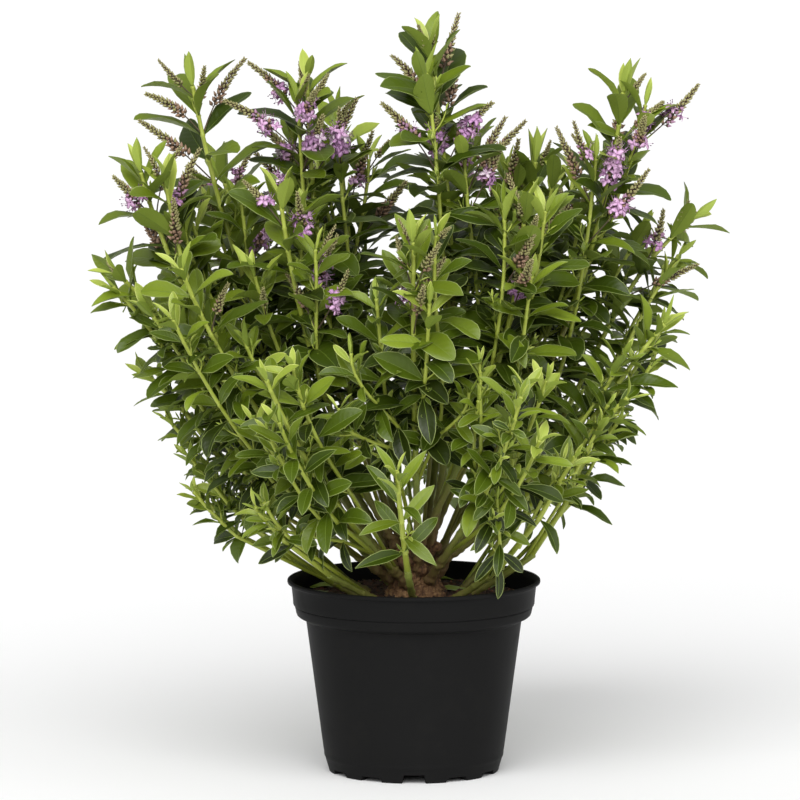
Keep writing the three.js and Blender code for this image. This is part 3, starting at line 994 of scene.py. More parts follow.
# Steps of the pot's profile: two numbers each, which pot_profile explains.
BODY = ((0.02, 0.0), (0.035, 0.22), (0.05, 0.0), *((up, 0.0) for up in (0.2, 0.4, 0.6, 0.8, 0.95)))
SLANT = (
    (0.0, -0.12), (0.03, 0.02), (0.12, 0.14), (0.45, 0.38), (0.78, 0.6), (0.93, 0.78), (1.0, 1.05),
)
COLLAR = (
    (0.2, 0.1), (0.25, 0.0), (0.275, -0.35), (0.3, 0.85),
    (0.33, 1.0), (0.5, 0.6), (0.75, 0.2), (0.95, 0.0),
)
BAND = (
    (2.7, 4.4), (1.9, 3.7), (0.8, 3.2), (0.2, 2.8), (0.0, 2.2),
    (0.0, 1.3), (0.2, 0.6), (0.7, 0.2), (1.3, 0.0),
)
LIP = ((3.0, 0.0), (2.4, 0.25), (1.9, 0.9), (1.0, 2.2), (0.3, 4.0), (0.0, 6.0))
# Shares of the pot's map: the turned wall's width and height, the place of the drain holes' walls,
# a plate's radius, where the two plates lie across the map, and how high.
WALL_MAP, HOLE_MAP = (0.98, 0.7), (0.99, 0.5)
PLATE_MAP, PLATES_ACROSS, PLATES_UP = 0.13, (0.14, 0.44), 0.86


def pot_angles():
    """Angles of the pot's columns: even ones, with the two sides of each slot's edge close
    together."""
    even = np.arange(POT_COLS) * TURN / POT_COLS
    edge = TURN / (4 * SLOTS)
    middles = np.arange(SLOTS) * TURN / SLOTS
    edges = (middles[:, None] + np.array([-edge, edge])).ravel() % TURN
    apart = np.abs((even[:, None] - edges + math.pi) % TURN - math.pi).min(1)
    return np.sort(np.r_[even[apart > HAIR], (edges - NUDGE) % TURN, (edges + NUDGE) % TURN])


def slot_height(p, angles):
    """Height of the foot's lower edge: 0 on a foot, the slot's depth in a slot."""
    pitch = TURN / SLOTS
    off = (angles + math.pi / 2 + pitch / 2) % TURN
    which = (off // pitch).astype(int)
    inside = np.abs(off % pitch - pitch / 2) < pitch / 4
    return np.where(inside, np.where(which % DEEP_EVERY == 0, p.deep_slot, p.shallow_slot), 0.0)


def inside_radius(p, height):
    """Inside radius of the pot's collar and body at a height."""
    if height >= p.collar_edge:
        up = (height - p.collar_edge) / (p.height - p.collar_edge)
        return p.collar_foot + (p.collar_top - p.collar_foot) * up - p.wall
    up = (height - p.body_foot) / (p.shoulder - p.body_foot)
    return p.body_foot_radius + (p.shoulder_radius - p.body_foot_radius) * up - p.wall


def pot_profile(p):
    """Radius and height of each ring from the foot of the body round the rim and down to the inside
    floor."""
    foot = p.body_foot_radius
    slope = (p.shoulder_radius - foot) / (p.shoulder - p.body_foot)
    rows = [(foot - 0.25 * MM, p.body_foot - FOOT_STEP), (foot, p.body_foot + 0.2 * MM)]
    # The body: a share of its height, and mm inward, for the faint ring where the feet's mould
    # begins.
    for up, dent in BODY:
        height = p.body_foot + up * (p.shoulder - p.body_foot)
        rows.append((foot + slope * (height - p.body_foot) - dent * MM, height))
    # The slant under the collar: a share of its reach, and one of its height.
    reach = p.collar_foot - p.shoulder_radius
    rise = p.collar_edge - p.shoulder
    rows += [(p.shoulder_radius + out * reach, p.shoulder + up * rise) for out, up in SLANT]
    # The collar, with a fine step a quarter of the way up: a share of its height, and mm outward.
    reach = p.collar_top - p.collar_foot
    rise = p.height - p.lip_height - p.collar_edge
    for up, out in COLLAR:
        rows.append((p.collar_foot + reach * up + out * MM, p.collar_edge + up * rise))
    # The band at the rim, and the lip inside it: mm inward or outward, and mm under the rim.
    rows += [(p.rim_radius - back * MM, p.height - down * MM) for back, down in BAND]
    inner = inside_radius(p, p.height)
    rows += [(inner + out * MM, p.height - down * MM) for out, down in LIP]
    for height in (p.collar_edge + p.wall, p.shoulder + p.wall, p.body_foot):
        rows.append((inside_radius(p, height), height))
    return rows + [(p.foot_radius - p.wall, p.floor)]


def holed_plate(p, angles, radius, height, down):
    """A round plate with four drain holes. In each quarter, rings of points pass in straight lines
    from the hole's circle to the quarter's outline: out along one side, round the edge and back
    along the other side."""
    out = []
    side = np.linspace(0, 1, PLATE_SIDE + 1)[:-1, None]
    for first in np.arange(4) * TURN / 4:
        arc = angles[(angles > first + HAIR) & (angles < first + TURN / 4 - HAIR)]
        arc = np.r_[first, arc, first + TURN / 4]
        edge = radius * np.stack([np.cos(arc), np.sin(arc)], 1)
        quarter = np.concatenate([side * edge[0], edge[:-1], (1 - side) * edge[-1]])
        mid = first + TURN / 8
        centre = p.drain_ring * np.array([math.cos(mid), math.sin(mid)])
        lean = np.arctan2(*(quarter - centre).T[::-1])
        hole = centre + p.drain_radius * np.stack([np.cos(lean), np.sin(lean)], 1)
        t = (np.linspace(0, 1, PLATE_RINGS) ** 1.3)[:, None, None]
        flat = hole + t * (quarter - hole)
        out.append(np.concatenate([flat, np.full((*flat.shape[:2], 1), height)], -1))
    points = np.array(out)
    cols = points.shape[2]
    quads, _ = rings(PLATE_RINGS, cols)
    if not down:
        quads = quads[:, ::-1]
    return points.reshape(4, -1, 3), quads, cols


def make_pot(p):
    """The pot turned about its axis: rings at the profile's radii and heights. The lower edge of
    the foot follows the slots, and the floor is a plate with holes."""
    angles = pot_angles()
    slot = slot_height(p, angles)
    flat = np.ones(len(angles))
    foot_z = np.linspace(0, 1, FOOT_ROWS)[:-1, None] * (p.body_foot - FOOT_STEP - slot) + slot
    foot_r = p.foot_radius + (p.body_foot_radius - p.foot_radius) * 0.88 * foot_z / p.body_foot
    inner = p.foot_radius - p.foot_width
    profile = [(r * flat, z * flat) for r, z in pot_profile(p)]
    feet = [(inner * flat, p.underside * flat), (inner * flat, slot), *zip(foot_r, foot_z)]
    radius, height = np.array(feet + profile).transpose(1, 0, 2)
    points = np.stack([radius * np.cos(angles), radius * np.sin(angles), height], -1)
    quads, _ = rings(len(points), len(angles))
    way = np.r_[0, np.cumsum(np.hypot(np.diff(radius[:, 0]), np.diff(height[:, 0])))]
    wide, high = WALL_MAP
    places = ring_places(np.r_[angles, TURN + angles[0]] / TURN * wide, way / way[-1] * high)
    pot = Piece()
    pot.add(points.reshape(1, -1, 3), (quads, 0, places))
    plates = []
    # The raised underside and the inside floor.
    sides = (inner, p.underside, True), (p.foot_radius - p.wall, p.floor, False)
    for (edge, z, down), across_map in zip(sides, PLATES_ACROSS):
        plate, faces, around = holed_plate(p, angles, edge, z, down)
        spot = plate[:, :, :2][:, faces] / edge * PLATE_MAP + np.array([across_map, PLATES_UP])
        pot.add(plate, (faces, 0, spot))
        plates.append(plate[:, :around])
    # The walls of the drain holes.
    quads, _ = rings(2, around)
    pot.add(np.concatenate(plates, 1), (quads[:, ::-1], 0, np.array(HOLE_MAP)))
    made = pot.finished("nursery_pot", [pot_finish(p)], "pot", ["pot"])
    weld(made)
    made.data.set_sharp_from_angle(angle=SHARP)


def weld(made):
    """Joins points that lie in one place, so that seams are closed."""
    work = bmesh.new()
    work.from_mesh(made.data)
    bmesh.ops.remove_doubles(work, verts=work.verts, dist=SAME)
    bmesh.ops.dissolve_degenerate(work, dist=NOTHING, edges=work.edges)
    work.to_mesh(made.data)
    work.free()


def pot_finish(p):
    """Moulded plastic: fine grain, faint upright flow marks and a dusting of water marks."""
    f = Finish("pot_plastic", tone(p, "plastic"), 0.5, Specular_IOR_Level=0.04)
    place = f.on_object()
    grain = f.noise(place, 900.0, 2.0, 0.6)
    flow = f.noise(f.stretched(place, 60.0, 60.0, 9.0), 1.0, 4.0, 0.6)
    cloud = f.noise(place, 34.0, 5.0, 0.65)
    marks = f.clear(cloud, 0.52, 0.78)
    f.feed(Base_Color=f.mix(marks * 0.16, tone(p, "plastic"), tone(p, "dust")))
    f.feed(Roughness=0.44 + flow * 0.1 + marks * 0.14)
    f.bump(grain * 0.5 + flow * 0.6, 0.3, 0.12 * MM)
    return f.material


def top_of_compost(c, x, y):
    """Height of the compost's top over its middle level: big lumps, crumbs on them and grit, as
    folded sine waves."""
    place = np.stack([x, y, 0 * x], -1)
    big = np.abs(ripple(place, c.lump * 1.6, 3))
    small = np.abs(ripple(place, c.lump * 0.55, 4))
    grit = ripple(place, c.lump * 0.22, 5)
    return c.relief * (0.55 * big + 0.5 * small + 0.2 * grit - 0.45)


def compost_height(c, x, y):
    """Height of the compost's top over the ground: it falls a little towards the pot's wall."""
    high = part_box("compost")[1]
    inside = high.x - np.hypot(x, y)
    level = high.z - 2.5 * MM * (1 - np.clip(inside / (26 * MM), 0, 1))
    return level + top_of_compost(c, x, y) * np.clip(inside / (3 * MM), 0, 1)


COMPOST_COLS = 168
TOP_RINGS = 60
HUB = 0.6 * MM  # radius of the innermost ring
PEAT_GAP = 0.3 * MM  # between the compost and the pot
CRUMB = ((0.0, 0.28, 0.72, 1.0), (0.35, 1.0, 0.9, 0.3))  # heights and radii of a crumb's rings
CRUMB_COLS = 6


def make_compost(c):
    """The compost turned about the pot's axis inside the wall, with its top raised in lumps."""
    p = bpy.context.scene.hebe_pot
    low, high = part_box("compost")
    side = [
        (HUB, low.z),
        (p.foot_radius - p.wall - PEAT_GAP, low.z),
        (inside_radius(p, p.body_foot) - PEAT_GAP, p.body_foot),
    ]
    for z in (p.shoulder + p.wall, p.collar_edge + p.wall + PEAT_GAP):
        side.append((inside_radius(p, z) - PEAT_GAP, z))
    angles = np.arange(COMPOST_COLS) * TURN / COMPOST_COLS
    side = np.array(side)[:, :, None] * np.ones(COMPOST_COLS)
    shares = 1 - np.linspace(0, 1, TOP_RINGS) ** 1.05
    r = np.maximum(shares * high.x, HUB)[:, None] * np.ones(COMPOST_COLS)
    z = compost_height(c, r * np.cos(angles), r * np.sin(angles))
    radius, height = np.concatenate([side[:, 0], r]), np.concatenate([side[:, 1], z])
    points = np.stack([radius * np.cos(angles), radius * np.sin(angles), height], -1)
    body = Piece()
    body.add_rings(points.reshape(1, -1, 3), COMPOST_COLS, np.linspace(0, 1, len(points)))
    body.finished("potting_compost", [compost_finish(c)], "compost", ["compost"])


def make_crumbs(c):
    """Loose crumbs on the compost: small lumps with uneven rings, from grit to bark chips."""
    rng = np.random.default_rng(21)
    n = c.crumbs
    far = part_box("compost")[1].x * 0.985 * np.sqrt(rng.uniform(0.03, 1, n))
    turn = rng.uniform(0, TURN, n)
    size = c.crumb * (0.22 + 0.78 * rng.uniform(0, 1, n) ** 2.6)
    x, y = far * np.cos(turn), far * np.sin(turn)
    centre = np.stack([x, y, compost_height(c, x, y) + size * 0.1], -1)
    way = unit(rng.normal(size=(n, 3)) * np.array([1, 1, 0.45]))
    foot = centre - way * size[:, None] / 2
    wide = size * rng.uniform(0.28, 0.5, n)
    points = spindles(foot, way, size, wide, CRUMB, CRUMB_COLS, rng.uniform(0, TURN, n))
    points = points + rng.normal(0, 0.07, points.shape) * size[:, None, None]
    finish = rng.choice(3, n, p=(0.42, 0.4, 0.18))[:, None]
    crumbs = Piece()
    crumbs.add_rings(points, CRUMB_COLS, (0, 0.3, 0.7, 1), finish)
    names = {"dark": "peat_dark", "brown": "peat_brown", "bark": "bark_chip"}
    finishes = [grained_finish(name, tone(c, key), CRUMB_GRAIN) for key, name in names.items()]
    crumbs.finished("compost_crumbs", finishes, "compost", smooth=False)


def compost_finish(c):
    """Moist peat: dark hollows, browner lumps, reddish fibres, and a rough surface."""
    f = Finish("compost_peat", tone(c, "dark"), 0.9)
    place = f.on_object()
    lumps = f.noise(place, 210.0, 6.0, 0.7)
    fibre = f.noise(f.stretched(place, 900.0, 240.0, 500.0), 1.0, 4.0, 0.6)
    base = f.mix(f.clear(lumps, 0.42, 0.66), tone(c, "dark"), tone(c, "brown"))
    f.feed(Base_Color=f.mix(f.clear(fibre, 0.62, 0.74) * 0.6, base, tone(c, "bark")))
    f.feed(Roughness=0.78 + lumps * 0.2)
    f.bump(lumps + fibre * 0.5, 0.9, 0.8 * MM)
    return f.material


# ---- the wood -----------------------------------------------------------------------------------


TRUNK_ROWS, TRUNK_COLS = 84, 110
SUNK, CAP = 6 * MM, 5 * MM  # how far the trunk goes on under its solid and over it
KNOTS = 18
KNOT_TURN, KNOT_SIZE = 16 * MM, 4.6 * MM  # radius that a knot's turn is measured at, and its size
STUB_ROWS, STUB_COLS = 14, 26
# Pruned stubs of the trunk: the turn round it, how far up it, how steeply they rise, and their
# length in mm.
STUBS = (
    (-2.2, 0.35, 0.75, 15), (-0.9, 0.62, 0.5, 13), (0.6, 0.45, 0.8, 12), (2.2, 0.7, 0.6, 14),
    (-1.5, 0.88, 1.3, 16), (-1.85, 0.5, 0.5, 19), (-1.2, 0.3, 0.6, 17), (-0.45, 0.8, 0.5, 18),
    (-2.7, 0.65, 0.45, 17), (1.5, 0.4, 0.6, 15),
)


def make_trunk(w):
    """The trunk: rings carried up its middle line. The relief is bark ridges that run up it, as
    sine waves squeezed in height, and knots, as round swellings. Pruned stubs stand out of it."""
    tri = triangles("trunk")
    low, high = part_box("trunk")
    marks = np.linspace(low.z + 1 * MM, high.z - 1 * MM, 9)
    cuts = [slice_middle(tri, np.array([0, 0, z]), UP) for z in marks]
    heights = np.linspace(low.z - SUNK, high.z + CAP, TRUNK_ROWS)
    middle = np.array([c[0] for c in cuts])
    inside = np.clip(heights, low.z, high.z)
    leans = [np.polyval(np.polyfit(marks, middle[:, i], 2), inside) for i in (0, 1)]
    line = np.stack([*leans, heights], -1)
    radius = np.interp(heights, marks, [c[1] for c in cuts])
    top = np.clip((heights - high.z + 3 * MM) / (CAP + 3 * MM), 0, 1)
    radius = radius * np.sqrt(np.maximum(1 - top**2, 0.004))
    plain = tube(line, radius, TRUNK_COLS).reshape(TRUNK_ROWS, TRUNK_COLS, 3)
    squeezed = plain * np.array([1, 1, 0.2])
    ridges = ripple(squeezed, 7 * MM, 31) + 0.5 * ripple(squeezed, 3.2 * MM, 32)
    ridges = w.ridge * (0.55 - np.abs(ridges) * 0.62 + 0.22 * ripple(plain, 2.4 * MM, 33))
    rng = np.random.default_rng(34)
    spot = rng.uniform([-math.pi, low.z], [math.pi, high.z], (KNOTS, 2))
    spoke = plain - line[:, None]
    around = np.arctan2(spoke[..., 1], spoke[..., 0])
    off = (around[..., None] - spot[:, 0] + math.pi) % TURN - math.pi
    near = (off * KNOT_TURN) ** 2 + (heights[:, None, None] - spot[:, 1]) ** 2
    knots = (np.exp(-near / KNOT_SIZE**2) * rng.uniform(0.4, 1.0, KNOTS)).sum(-1) * w.knot
    relief = (ridges + knots) / np.maximum(radius, 6 * MM)[:, None]
    trunk = Piece()
    trunk.add_rings(
        tube(line, radius, TRUNK_COLS, relief=relief),
        TRUNK_COLS,
        np.linspace(0, 1, TRUNK_ROWS),
        around=np.linspace(0, 0.7, TRUNK_COLS + 1),
        end=0.9,
    )
    add_stubs(trunk, line, low.z, high.z, rng)
    trunk.finished("woody_base", [bark_finish(w)], "bark", ["trunk"])


def add_stubs(trunk, line, low, high, rng):
    """Adds the pruned stubs: short tubes that leave the trunk's line outward and up, flared at the
    foot and blunt at the end, with an uneven surface."""
    turn, share_up, rise, long = np.array(STUBS).T
    height = low + share_up * (high - low)
    start = np.stack([*(np.interp(height, line[:, 2], line[:, i]) for i in (0, 1)), height], -1)
    way = unit(np.stack([np.cos(turn), np.sin(turn), rise], -1))
    reach = np.linspace(6 * MM, (10 + long) * MM, STUB_ROWS).T[..., None]
    lines = start[:, None] + way[:, None] * reach
    flare = np.r_[np.linspace(1.5, 1.0, 6), np.ones(6), 0.86, 0.35]
    radius = (rng.uniform(3.2, 5.4, len(STUBS)) * MM)[:, None] * flare
    bare = tube(lines, radius, STUB_COLS).reshape(len(lines), STUB_ROWS, STUB_COLS, 3)
    relief = ripple(bare * np.array([1, 1, 0.5]), 3.6 * MM, 35) * 0.13
    trunk.add_rings(
        tube(lines, radius, STUB_COLS, relief=relief),
        STUB_COLS,
        np.linspace(0, 0.18, STUB_ROWS),
        around=np.linspace(0.72, 0.98, STUB_COLS + 1),
        end=0.99,
        shift=np.arange(len(lines))[:, None, None, None] * np.array([0, 0.2]),
    )


def bark_finish(w):
    """Old bark: dark furrows, grey-brown plates and dry pale ridges, rough all over."""
    f = Finish("old_bark", tone(w, "bark"), 0.85)
    place = f.on_object()
    plates = f.noise(f.stretched(place, 420.0, 420.0, 90.0), 1.0, 6.0, 0.65)
    patch = f.noise(place, 70.0, 3.0, 0.5)
    tones = [tone(w, "bark_dark"), tone(w, "bark"), tone(w, "bark_pale")]
    base = f.ramp(plates * 0.8 + patch * 0.3, (0.4, tones[0]), (0.54, tones[1]), (0.7, tones[2]))
    f.feed(Base_Color=base, Roughness=0.72 + plates * 0.22)
    f.bump(plates, 1.0, 1.1 * MM)
    return f.material


NAMES = [name for names in REGIONS.values() for name in names]
BOUGH_ROWS, BOUGH_COLS = 58, 16
DEEP = 9 * MM  # how far a bough goes on inside the trunk or the compost
COLLAR_REACH, KNUCKLE_REACH = 16 * MM, 20 * MM  # over which its swollen foot and its lumps fade
SCAR_WIDTH = 1.9 * MM


def make_boughs(scene):
    """The boughs: rings carried along each limb's line from inside the trunk or the compost to
    where its mass begins. The radius tapers and swells at the foot. The relief is furrows that run
    along it and the rings of fallen leaf pairs."""
    w, s = scene.hebe_wood, scene.hebe_shoots
    up = np.linspace(0, 1, BOUGH_ROWS) ** 1.25
    lines, radii, ripe, lumps = [], [], [], []
    rng = np.random.default_rng(41)
    for name in NAMES:
        line, mouth, _, _ = limb(name)
        lean = math.degrees(math.acos(float(unit(line[-1] - line[0])[2])))
        on_trunk = lean < FROM_COMPOST
        foot, way = at(line, np.array([0.0]))
        start = foot - unit(way + (0 if on_trunk else 1.2) * UP) * DEEP
        points, _ = at(np.concatenate([start, line]), up * (mouth + DEEP + 1 * MM))
        lines.append(points)
        along = up * (mouth + DEEP) - DEEP
        above = np.maximum(along, 0)
        thick = s.bough_foot + (s.bough_end - s.bough_foot) * np.clip(along / mouth, 0, 1)
        swell = w.collar * np.exp(-above / COLLAR_REACH) * (1.0 if on_trunk else 0.25)
        slim = rng.uniform(0.62, 1.0) if on_trunk else rng.uniform(0.64, 0.9)
        radii.append(thick * (1 + (slim - 1) * np.clip(1 - along / mouth, 0, 1)) + swell)
        old = 0.04 if on_trunk else 0.26
        ripe.append(old + (rng.uniform(0.7, 0.86) - old) * up**0.95)
        lumps.append(np.exp(-above / KNUCKLE_REACH) * (1.0 if on_trunk else 0.3))
    lines, radii, ripe, lumps = (np.array(x) for x in (lines, radii, ripe, lumps))
    many = len(lines)
    around = np.arange(BOUGH_COLS) * TURN / BOUGH_COLS
    phase = rng.uniform(0, TURN, (many, 1, 1))
    rise = up[:, None]
    furrows = np.sin(around * 7 + phase + 5 * rise) * 0.5
    furrows = furrows + np.sin(around * 4 - phase * 2 + 9 * rise) * 0.5
    gaps = rng.uniform(13, 22, (many, 1)) * MM
    way = up * np.linalg.norm(np.diff(lines, axis=1), axis=-1).sum(1)[:, None]
    scar = np.exp(-((((way / gaps) % 1 - 0.5) * gaps / SCAR_WIDTH) ** 2))[..., None]
    old_wood = 1 + 2.2 * np.clip(0.4 - ripe, 0, 1)[..., None] / 0.4
    plain = tube(lines, radii, BOUGH_COLS).reshape(many, BOUGH_ROWS, BOUGH_COLS, 3)
    knobs = ripple(plain, 6 * MM, 43)
    relief = furrows * w.furrow * old_wood + scar * 0.5 * MM + knobs * lumps[..., None] * w.knuckle
    quads, ends = rings(BOUGH_ROWS, BOUGH_COLS)
    # On the map each bough has a strip of its own, which runs from its old wood to its green end.
    strip = (np.arange(many)[:, None] + np.linspace(0.03, 0.97, BOUGH_COLS + 1)) / many
    places = np.stack([ring_places(*x) for x in zip(strip, ripe)])
    end_places = np.stack([strip[:, [0, 0]], ripe[:, [0, -1]]], -1)[:, :, None]
    boughs = Piece()
    boughs.add(
        tube(lines, radii, BOUGH_COLS, relief=relief / radii[..., None]),
        (quads, 0, places),
        (ends, 0, end_places),
    )
    boughs.finished("boughs", [bough_finish(w)], "stems", ["bough_" + n for n in NAMES])


def bough_finish(w):
    """A limb's skin, from brown wood at its foot through olive to green, in streaks, with corky
    specks."""
    f = Finish("bough_skin", tone(w, "woody"), 0.7)
    _, ripe = f.parts(f.on_map())
    place = f.on_object()
    streak = f.noise(f.stretched(place, 420.0, 420.0, 60.0), 1.0, 4.0, 0.6)
    speck = f.clear(f.noise(place, 900.0, 2.0, 0.5), 0.62, 0.72)
    tones = [tone(w, key) for key in ("bark_dark", "woody", "olive", "green")]
    shade = ripe + (streak - 0.5) * 0.5
    base = f.ramp(shade, (0.0, tones[0]), (0.16, tones[1]), (0.42, tones[2]), (0.78, tones[3]))
    f.feed(Base_Color=f.mix(speck * 0.35, base, tone(w, "bark_pale")))
    f.feed(Roughness=0.5 + streak * 0.25 + (1 - ripe) * 0.15)
    f.bump(streak + speck * 0.4, 0.7, 0.3 * MM)
    return f.material


# ---- the crown ----------------------------------------------------------------------------------

STEM_FINISHES = ("young", "green", "olive", "brown")
STEM_COLS, TUFT_COLS = 8, 5
TUFT_ROWS = 7
TUFT_THICK = (0.85 * MM, 0.5 * MM)
TUFT_GAP = 7.5 * MM  # between its pairs of leaves


def stem_age(under):
    """Which stem finish a stretch has, by how far under the tip it is."""
    return np.clip(np.floor(under / RIPE * 2 + 0.35), 0, 3).astype(int)


def put_stem(piece, shoot, under, whole):
    """One shoot's stem: a round section carried along its line, thicker at each pair of leaves."""
    nodes = whole - under[::2][::-1]
    marks = np.r_[0, (nodes[:, None] + np.array([-1.3, -0.2, 0.9]) * MM).ravel(), whole + 0.4 * MM]
    swell = np.r_[1.0, np.tile([1.0, 1.3, 1.02], len(nodes)), 0.5]
    order = np.argsort(marks)
    marks, swell = marks[order], swell[order]
    keep = np.r_[True, np.diff(marks) > 0.25 * MM]
    marks, swell = marks[keep], swell[keep]
    points, _ = at(shoot.line, marks)
    radius = np.interp(marks, [0, whole], shoot.thick) * swell
    middle = whole - (marks[1:] + marks[:-1]) / 2
    finish = np.repeat(stem_age(middle), STEM_COLS)
    skin = tube(points, radius[None], STEM_COLS)
    piece.add_rings(skin, STEM_COLS, np.arange(len(marks)) % 2, finish, finish[[0, -1]])


def tufts_of(shoot, under, turn, rng, often):
    """Small side shoots in some leaf axils of a shoot, from a quarter of a leaf long to as long as
    one."""
    whole = way_along(shoot.line)[-1]
    made = []
    for pair, half in ((pair, half) for pair in range(2, len(turn)) for half in (0, 1)):
        if rng.uniform() > often:
            continue
        (foot,), (way,) = at(shoot.line, np.array([whole - under[2 * pair]]))
        out = across(way, turn[pair] + half * math.pi)
        long = rng.uniform(5, 24) * MM * min(1.0, 0.35 + pair / 8)
        leave, arrive = unit(way * 0.8 + out), unit(way + out * 0.35 + UP * 0.2)
        tip = foot + unit(leave + arrive) * long
        line = bezier(foot, foot + leave * long * 0.35, tip - arrive * long * 0.35, tip, TUFT_ROWS)
        leaf = rng.uniform(11, 19) * MM
        made.append(Shoot(shoot.region, line, TUFT_THICK, 0.32 * long, leaf, TUFT_GAP, 2, Trait()))
    return made


# The shade round the trunk, where the leaves have fallen: its middle and how far it reaches each
# way.
SHADE = np.array([(0.0, 0.035, 0.14), (0.125, 0.1, 0.088)])
INSIDE = 86.5 * MM  # radius of the pot's inside at the rim
ON_TOP = 134 * MM  # height under which a leaf would be in the compost
SLACK = 6 * MM  # how far a leaf may stand out of the frame's box


def keeps_clear(points):
    """Whether each leaf keeps out of the pot's wall and the compost, inside the frame's box, and
    out of the shade."""
    far, z = np.hypot(points[..., 0], points[..., 1]), points[..., 2]
    p = bpy.context.scene.hebe_pot
    wall = (z < p.height + 1.5 * MM) & (far > INSIDE) & (far < p.rim_radius + 1.8 * MM)
    sunk = (z < ON_TOP) & (far <= INSIDE)
    low, high = (np.array(c) for c in CAD_BOX)
    outside = ((points < low - SLACK) | (points > high + SLACK)).any(-1)
    shaded = (((points[:, 0] - SHADE[0]) / SHADE[1]) ** 2).sum(-1) < 1
    return ~((wall | sunk | outside).any(1) | shaded)


def add_clear(piece, leaves, rows, settings, whole):
    """Adds the leaves that keep clear of the pot."""
    c = {name: np.concatenate([x[name] for x in leaves]) for name in leaves[0]}
    keep = keeps_clear(blades(c, rows, settings, whole))
    add_blades(piece, {name: v[keep] for name, v in c.items()}, rows, settings, whole)


# Leaves that have fallen on the compost: where, in mm, which way they point, and their length in
# mm.
FALLEN = (
    (14, 13, 0.15, 30), (58, 34, 1.2, 27), (-52, 22, 2.6, 31), (-26, 60, 0.6, 24),
    (34, -36, -0.5, 33), (-40, -48, 2.2, 29), (66, -18, -1.9, 25), (8, -68, 0.3, 31),
    (-72, -8, 1.4, 26), (30, 70, 2.9, 28),
)


def fallen_leaves(scene, slender):
    """Rows for the fallen leaves: they lie on the compost with their upper side up, a little
    curled."""
    rng = np.random.default_rng(61)
    x, y, turn, long = np.array(FALLEN).T
    x, y, long = x * MM, y * MM, long * MM
    n = len(x)
    way = np.stack([np.cos(turn), np.sin(turn), 0 * turn], 1)
    reach = np.array([[0], [0.5], [1]]) * long
    under = compost_height(scene.hebe_compost, x + np.cos(turn) * reach, y + np.sin(turn) * reach)
    foot = np.stack([x, y, under.max(0) + 1.2 * MM], 1)
    return {
        "foot": foot,
        "way": unit(way + UP * 0.06),
        "face": unit(UP + rng.normal(0, 0.16, (n, 3))),
        "long": long,
        "wide": long * slender / 2,
        "fold": rng.uniform(0.1, 0.4, n),
        "bend": rng.uniform(0.1, 0.3, n),
        "twist": rng.normal(0, 0.1, n),
        "wave": rng.uniform(0, TURN, (n, 2)),
        "blunt": np.full(n, 0.7),
        "age": rng.uniform(2.0, 4.4, n),
    }


def make_crown(scene):
    """Stems, leaves and flower spikes of every shoot. Leaves are joined by region and stems all
    together."""
    s, settings = scene.hebe_shoots, scene.hebe_leaves
    rng, small_rng = (np.random.default_rng(s.seed + k) for k in (1, 2))
    shoots = grow(scene)
    finishes = [leaf_finish("leaf_" + n, tone(settings, n)) for n in LEAF_FINISHES]
    stems, spikes, tuft_lines = Piece(), [], []
    for region, names in REGIONS.items():
        large, small = [], []
        for shoot in (x for x in shoots if x.region == region):
            draws = small_rng if shoot.trait.small else rng
            under, turn, whole = put_leaves(large, shoot, draws, settings.slender)
            put_stem(stems, shoot, under, whole)
            for tuft in tufts_of(shoot, under, turn, draws, s.tufts):
                put_leaves(small, tuft, draws, settings.slender * 0.95)
                tuft_lines.append(tuft.line)
            spikes += spikes_of(scene.hebe_blossom, shoot, under, turn, whole, draws)
        leaves = Piece()
        add_clear(leaves, large, BLADE_ROWS, settings, True)
        add_clear(leaves, small, BLADELET_ROWS, settings, False)
        if region == "front_low":
            add_blades(leaves, fallen_leaves(scene, settings.slender), BLADE_ROWS, settings, True)
        leaves.finished("leaves_" + region, finishes, "leaves", ["foliage_" + n for n in names])
    add_threads(stems, np.array(tuft_lines), 0.85, 0.45)
    stems.finished("twigs", grained(s, "stem_", STEM_FINISHES, STEM_GRAIN), "stems")
    make_blossom(scene.hebe_blossom, spikes)


def add_threads(piece, lines, foot, tip):
    """Adds thin tubes along the lines, with their radii at foot and tip in mm."""
    rows = lines.shape[1]
    radius = np.linspace(foot, tip, rows)[None] * MM * np.ones((len(lines), 1))
    piece.add_rings(tube(lines, radius, TUFT_COLS), TUFT_COLS, np.linspace(0, 1, rows))


# ---- the blossom --------------------------------------------------------------------------------

SPIKE_POINTS = 13
BUDS_EACH = 70
# Heights and radii of the rings of a bud, of a flower's calyx and tube, of an anther and a pedicel.
BUD = ((0.0, 0.36, 1.0), (0.5, 1.0, 0.14))
FLOWER_TUBE = ((0, 0.3, 0.6, 1), (0.5, 0.95, 0.75, 1.25))
ANTHER = ((0, 0.5, 1), (0.3, 1, 0.3))
PEDICEL = ((0, 1), (1, 1))
PETAL_THICK = 0.1 * MM
BUDS = ("calyx", "bud_tip", "bud_ripe", "bud_lilac")
PETALS = ("lilac", "mauve", "faded", "anther", "calyx")
# Where blossom is open in front: how far to the right and how high, in mm, and the share of the
# spike in flower.
IN_BLOOM = (
    (143, 449, 0.62), (-110, 459, 0.6), (-66, 377, 0.5), (-51, 367, 0.3), (12, 470, 0.5),
    (-2, 489, 0.3), (56, 496, 0.5), (-55, 481, 0.5), (-73, 485, 0.3), (-95, 486, 0.2),
    (167, 470, 0.12), (115, 463, 0.15), (-211, 418, 0.16), (-173, 437, 0.1), (-88, 466, 0.35),
    (150, 436, 0.2), (60, 440, 0.15),
)


class Spike:
    """A place for a flower spike in a leaf axil: its line and how far grown it is. It is taken or
    not."""

    def __init__(self, line, grown, taken):
        self.line, self.grown, self.taken, self.opened = line, grown, taken, 0.0


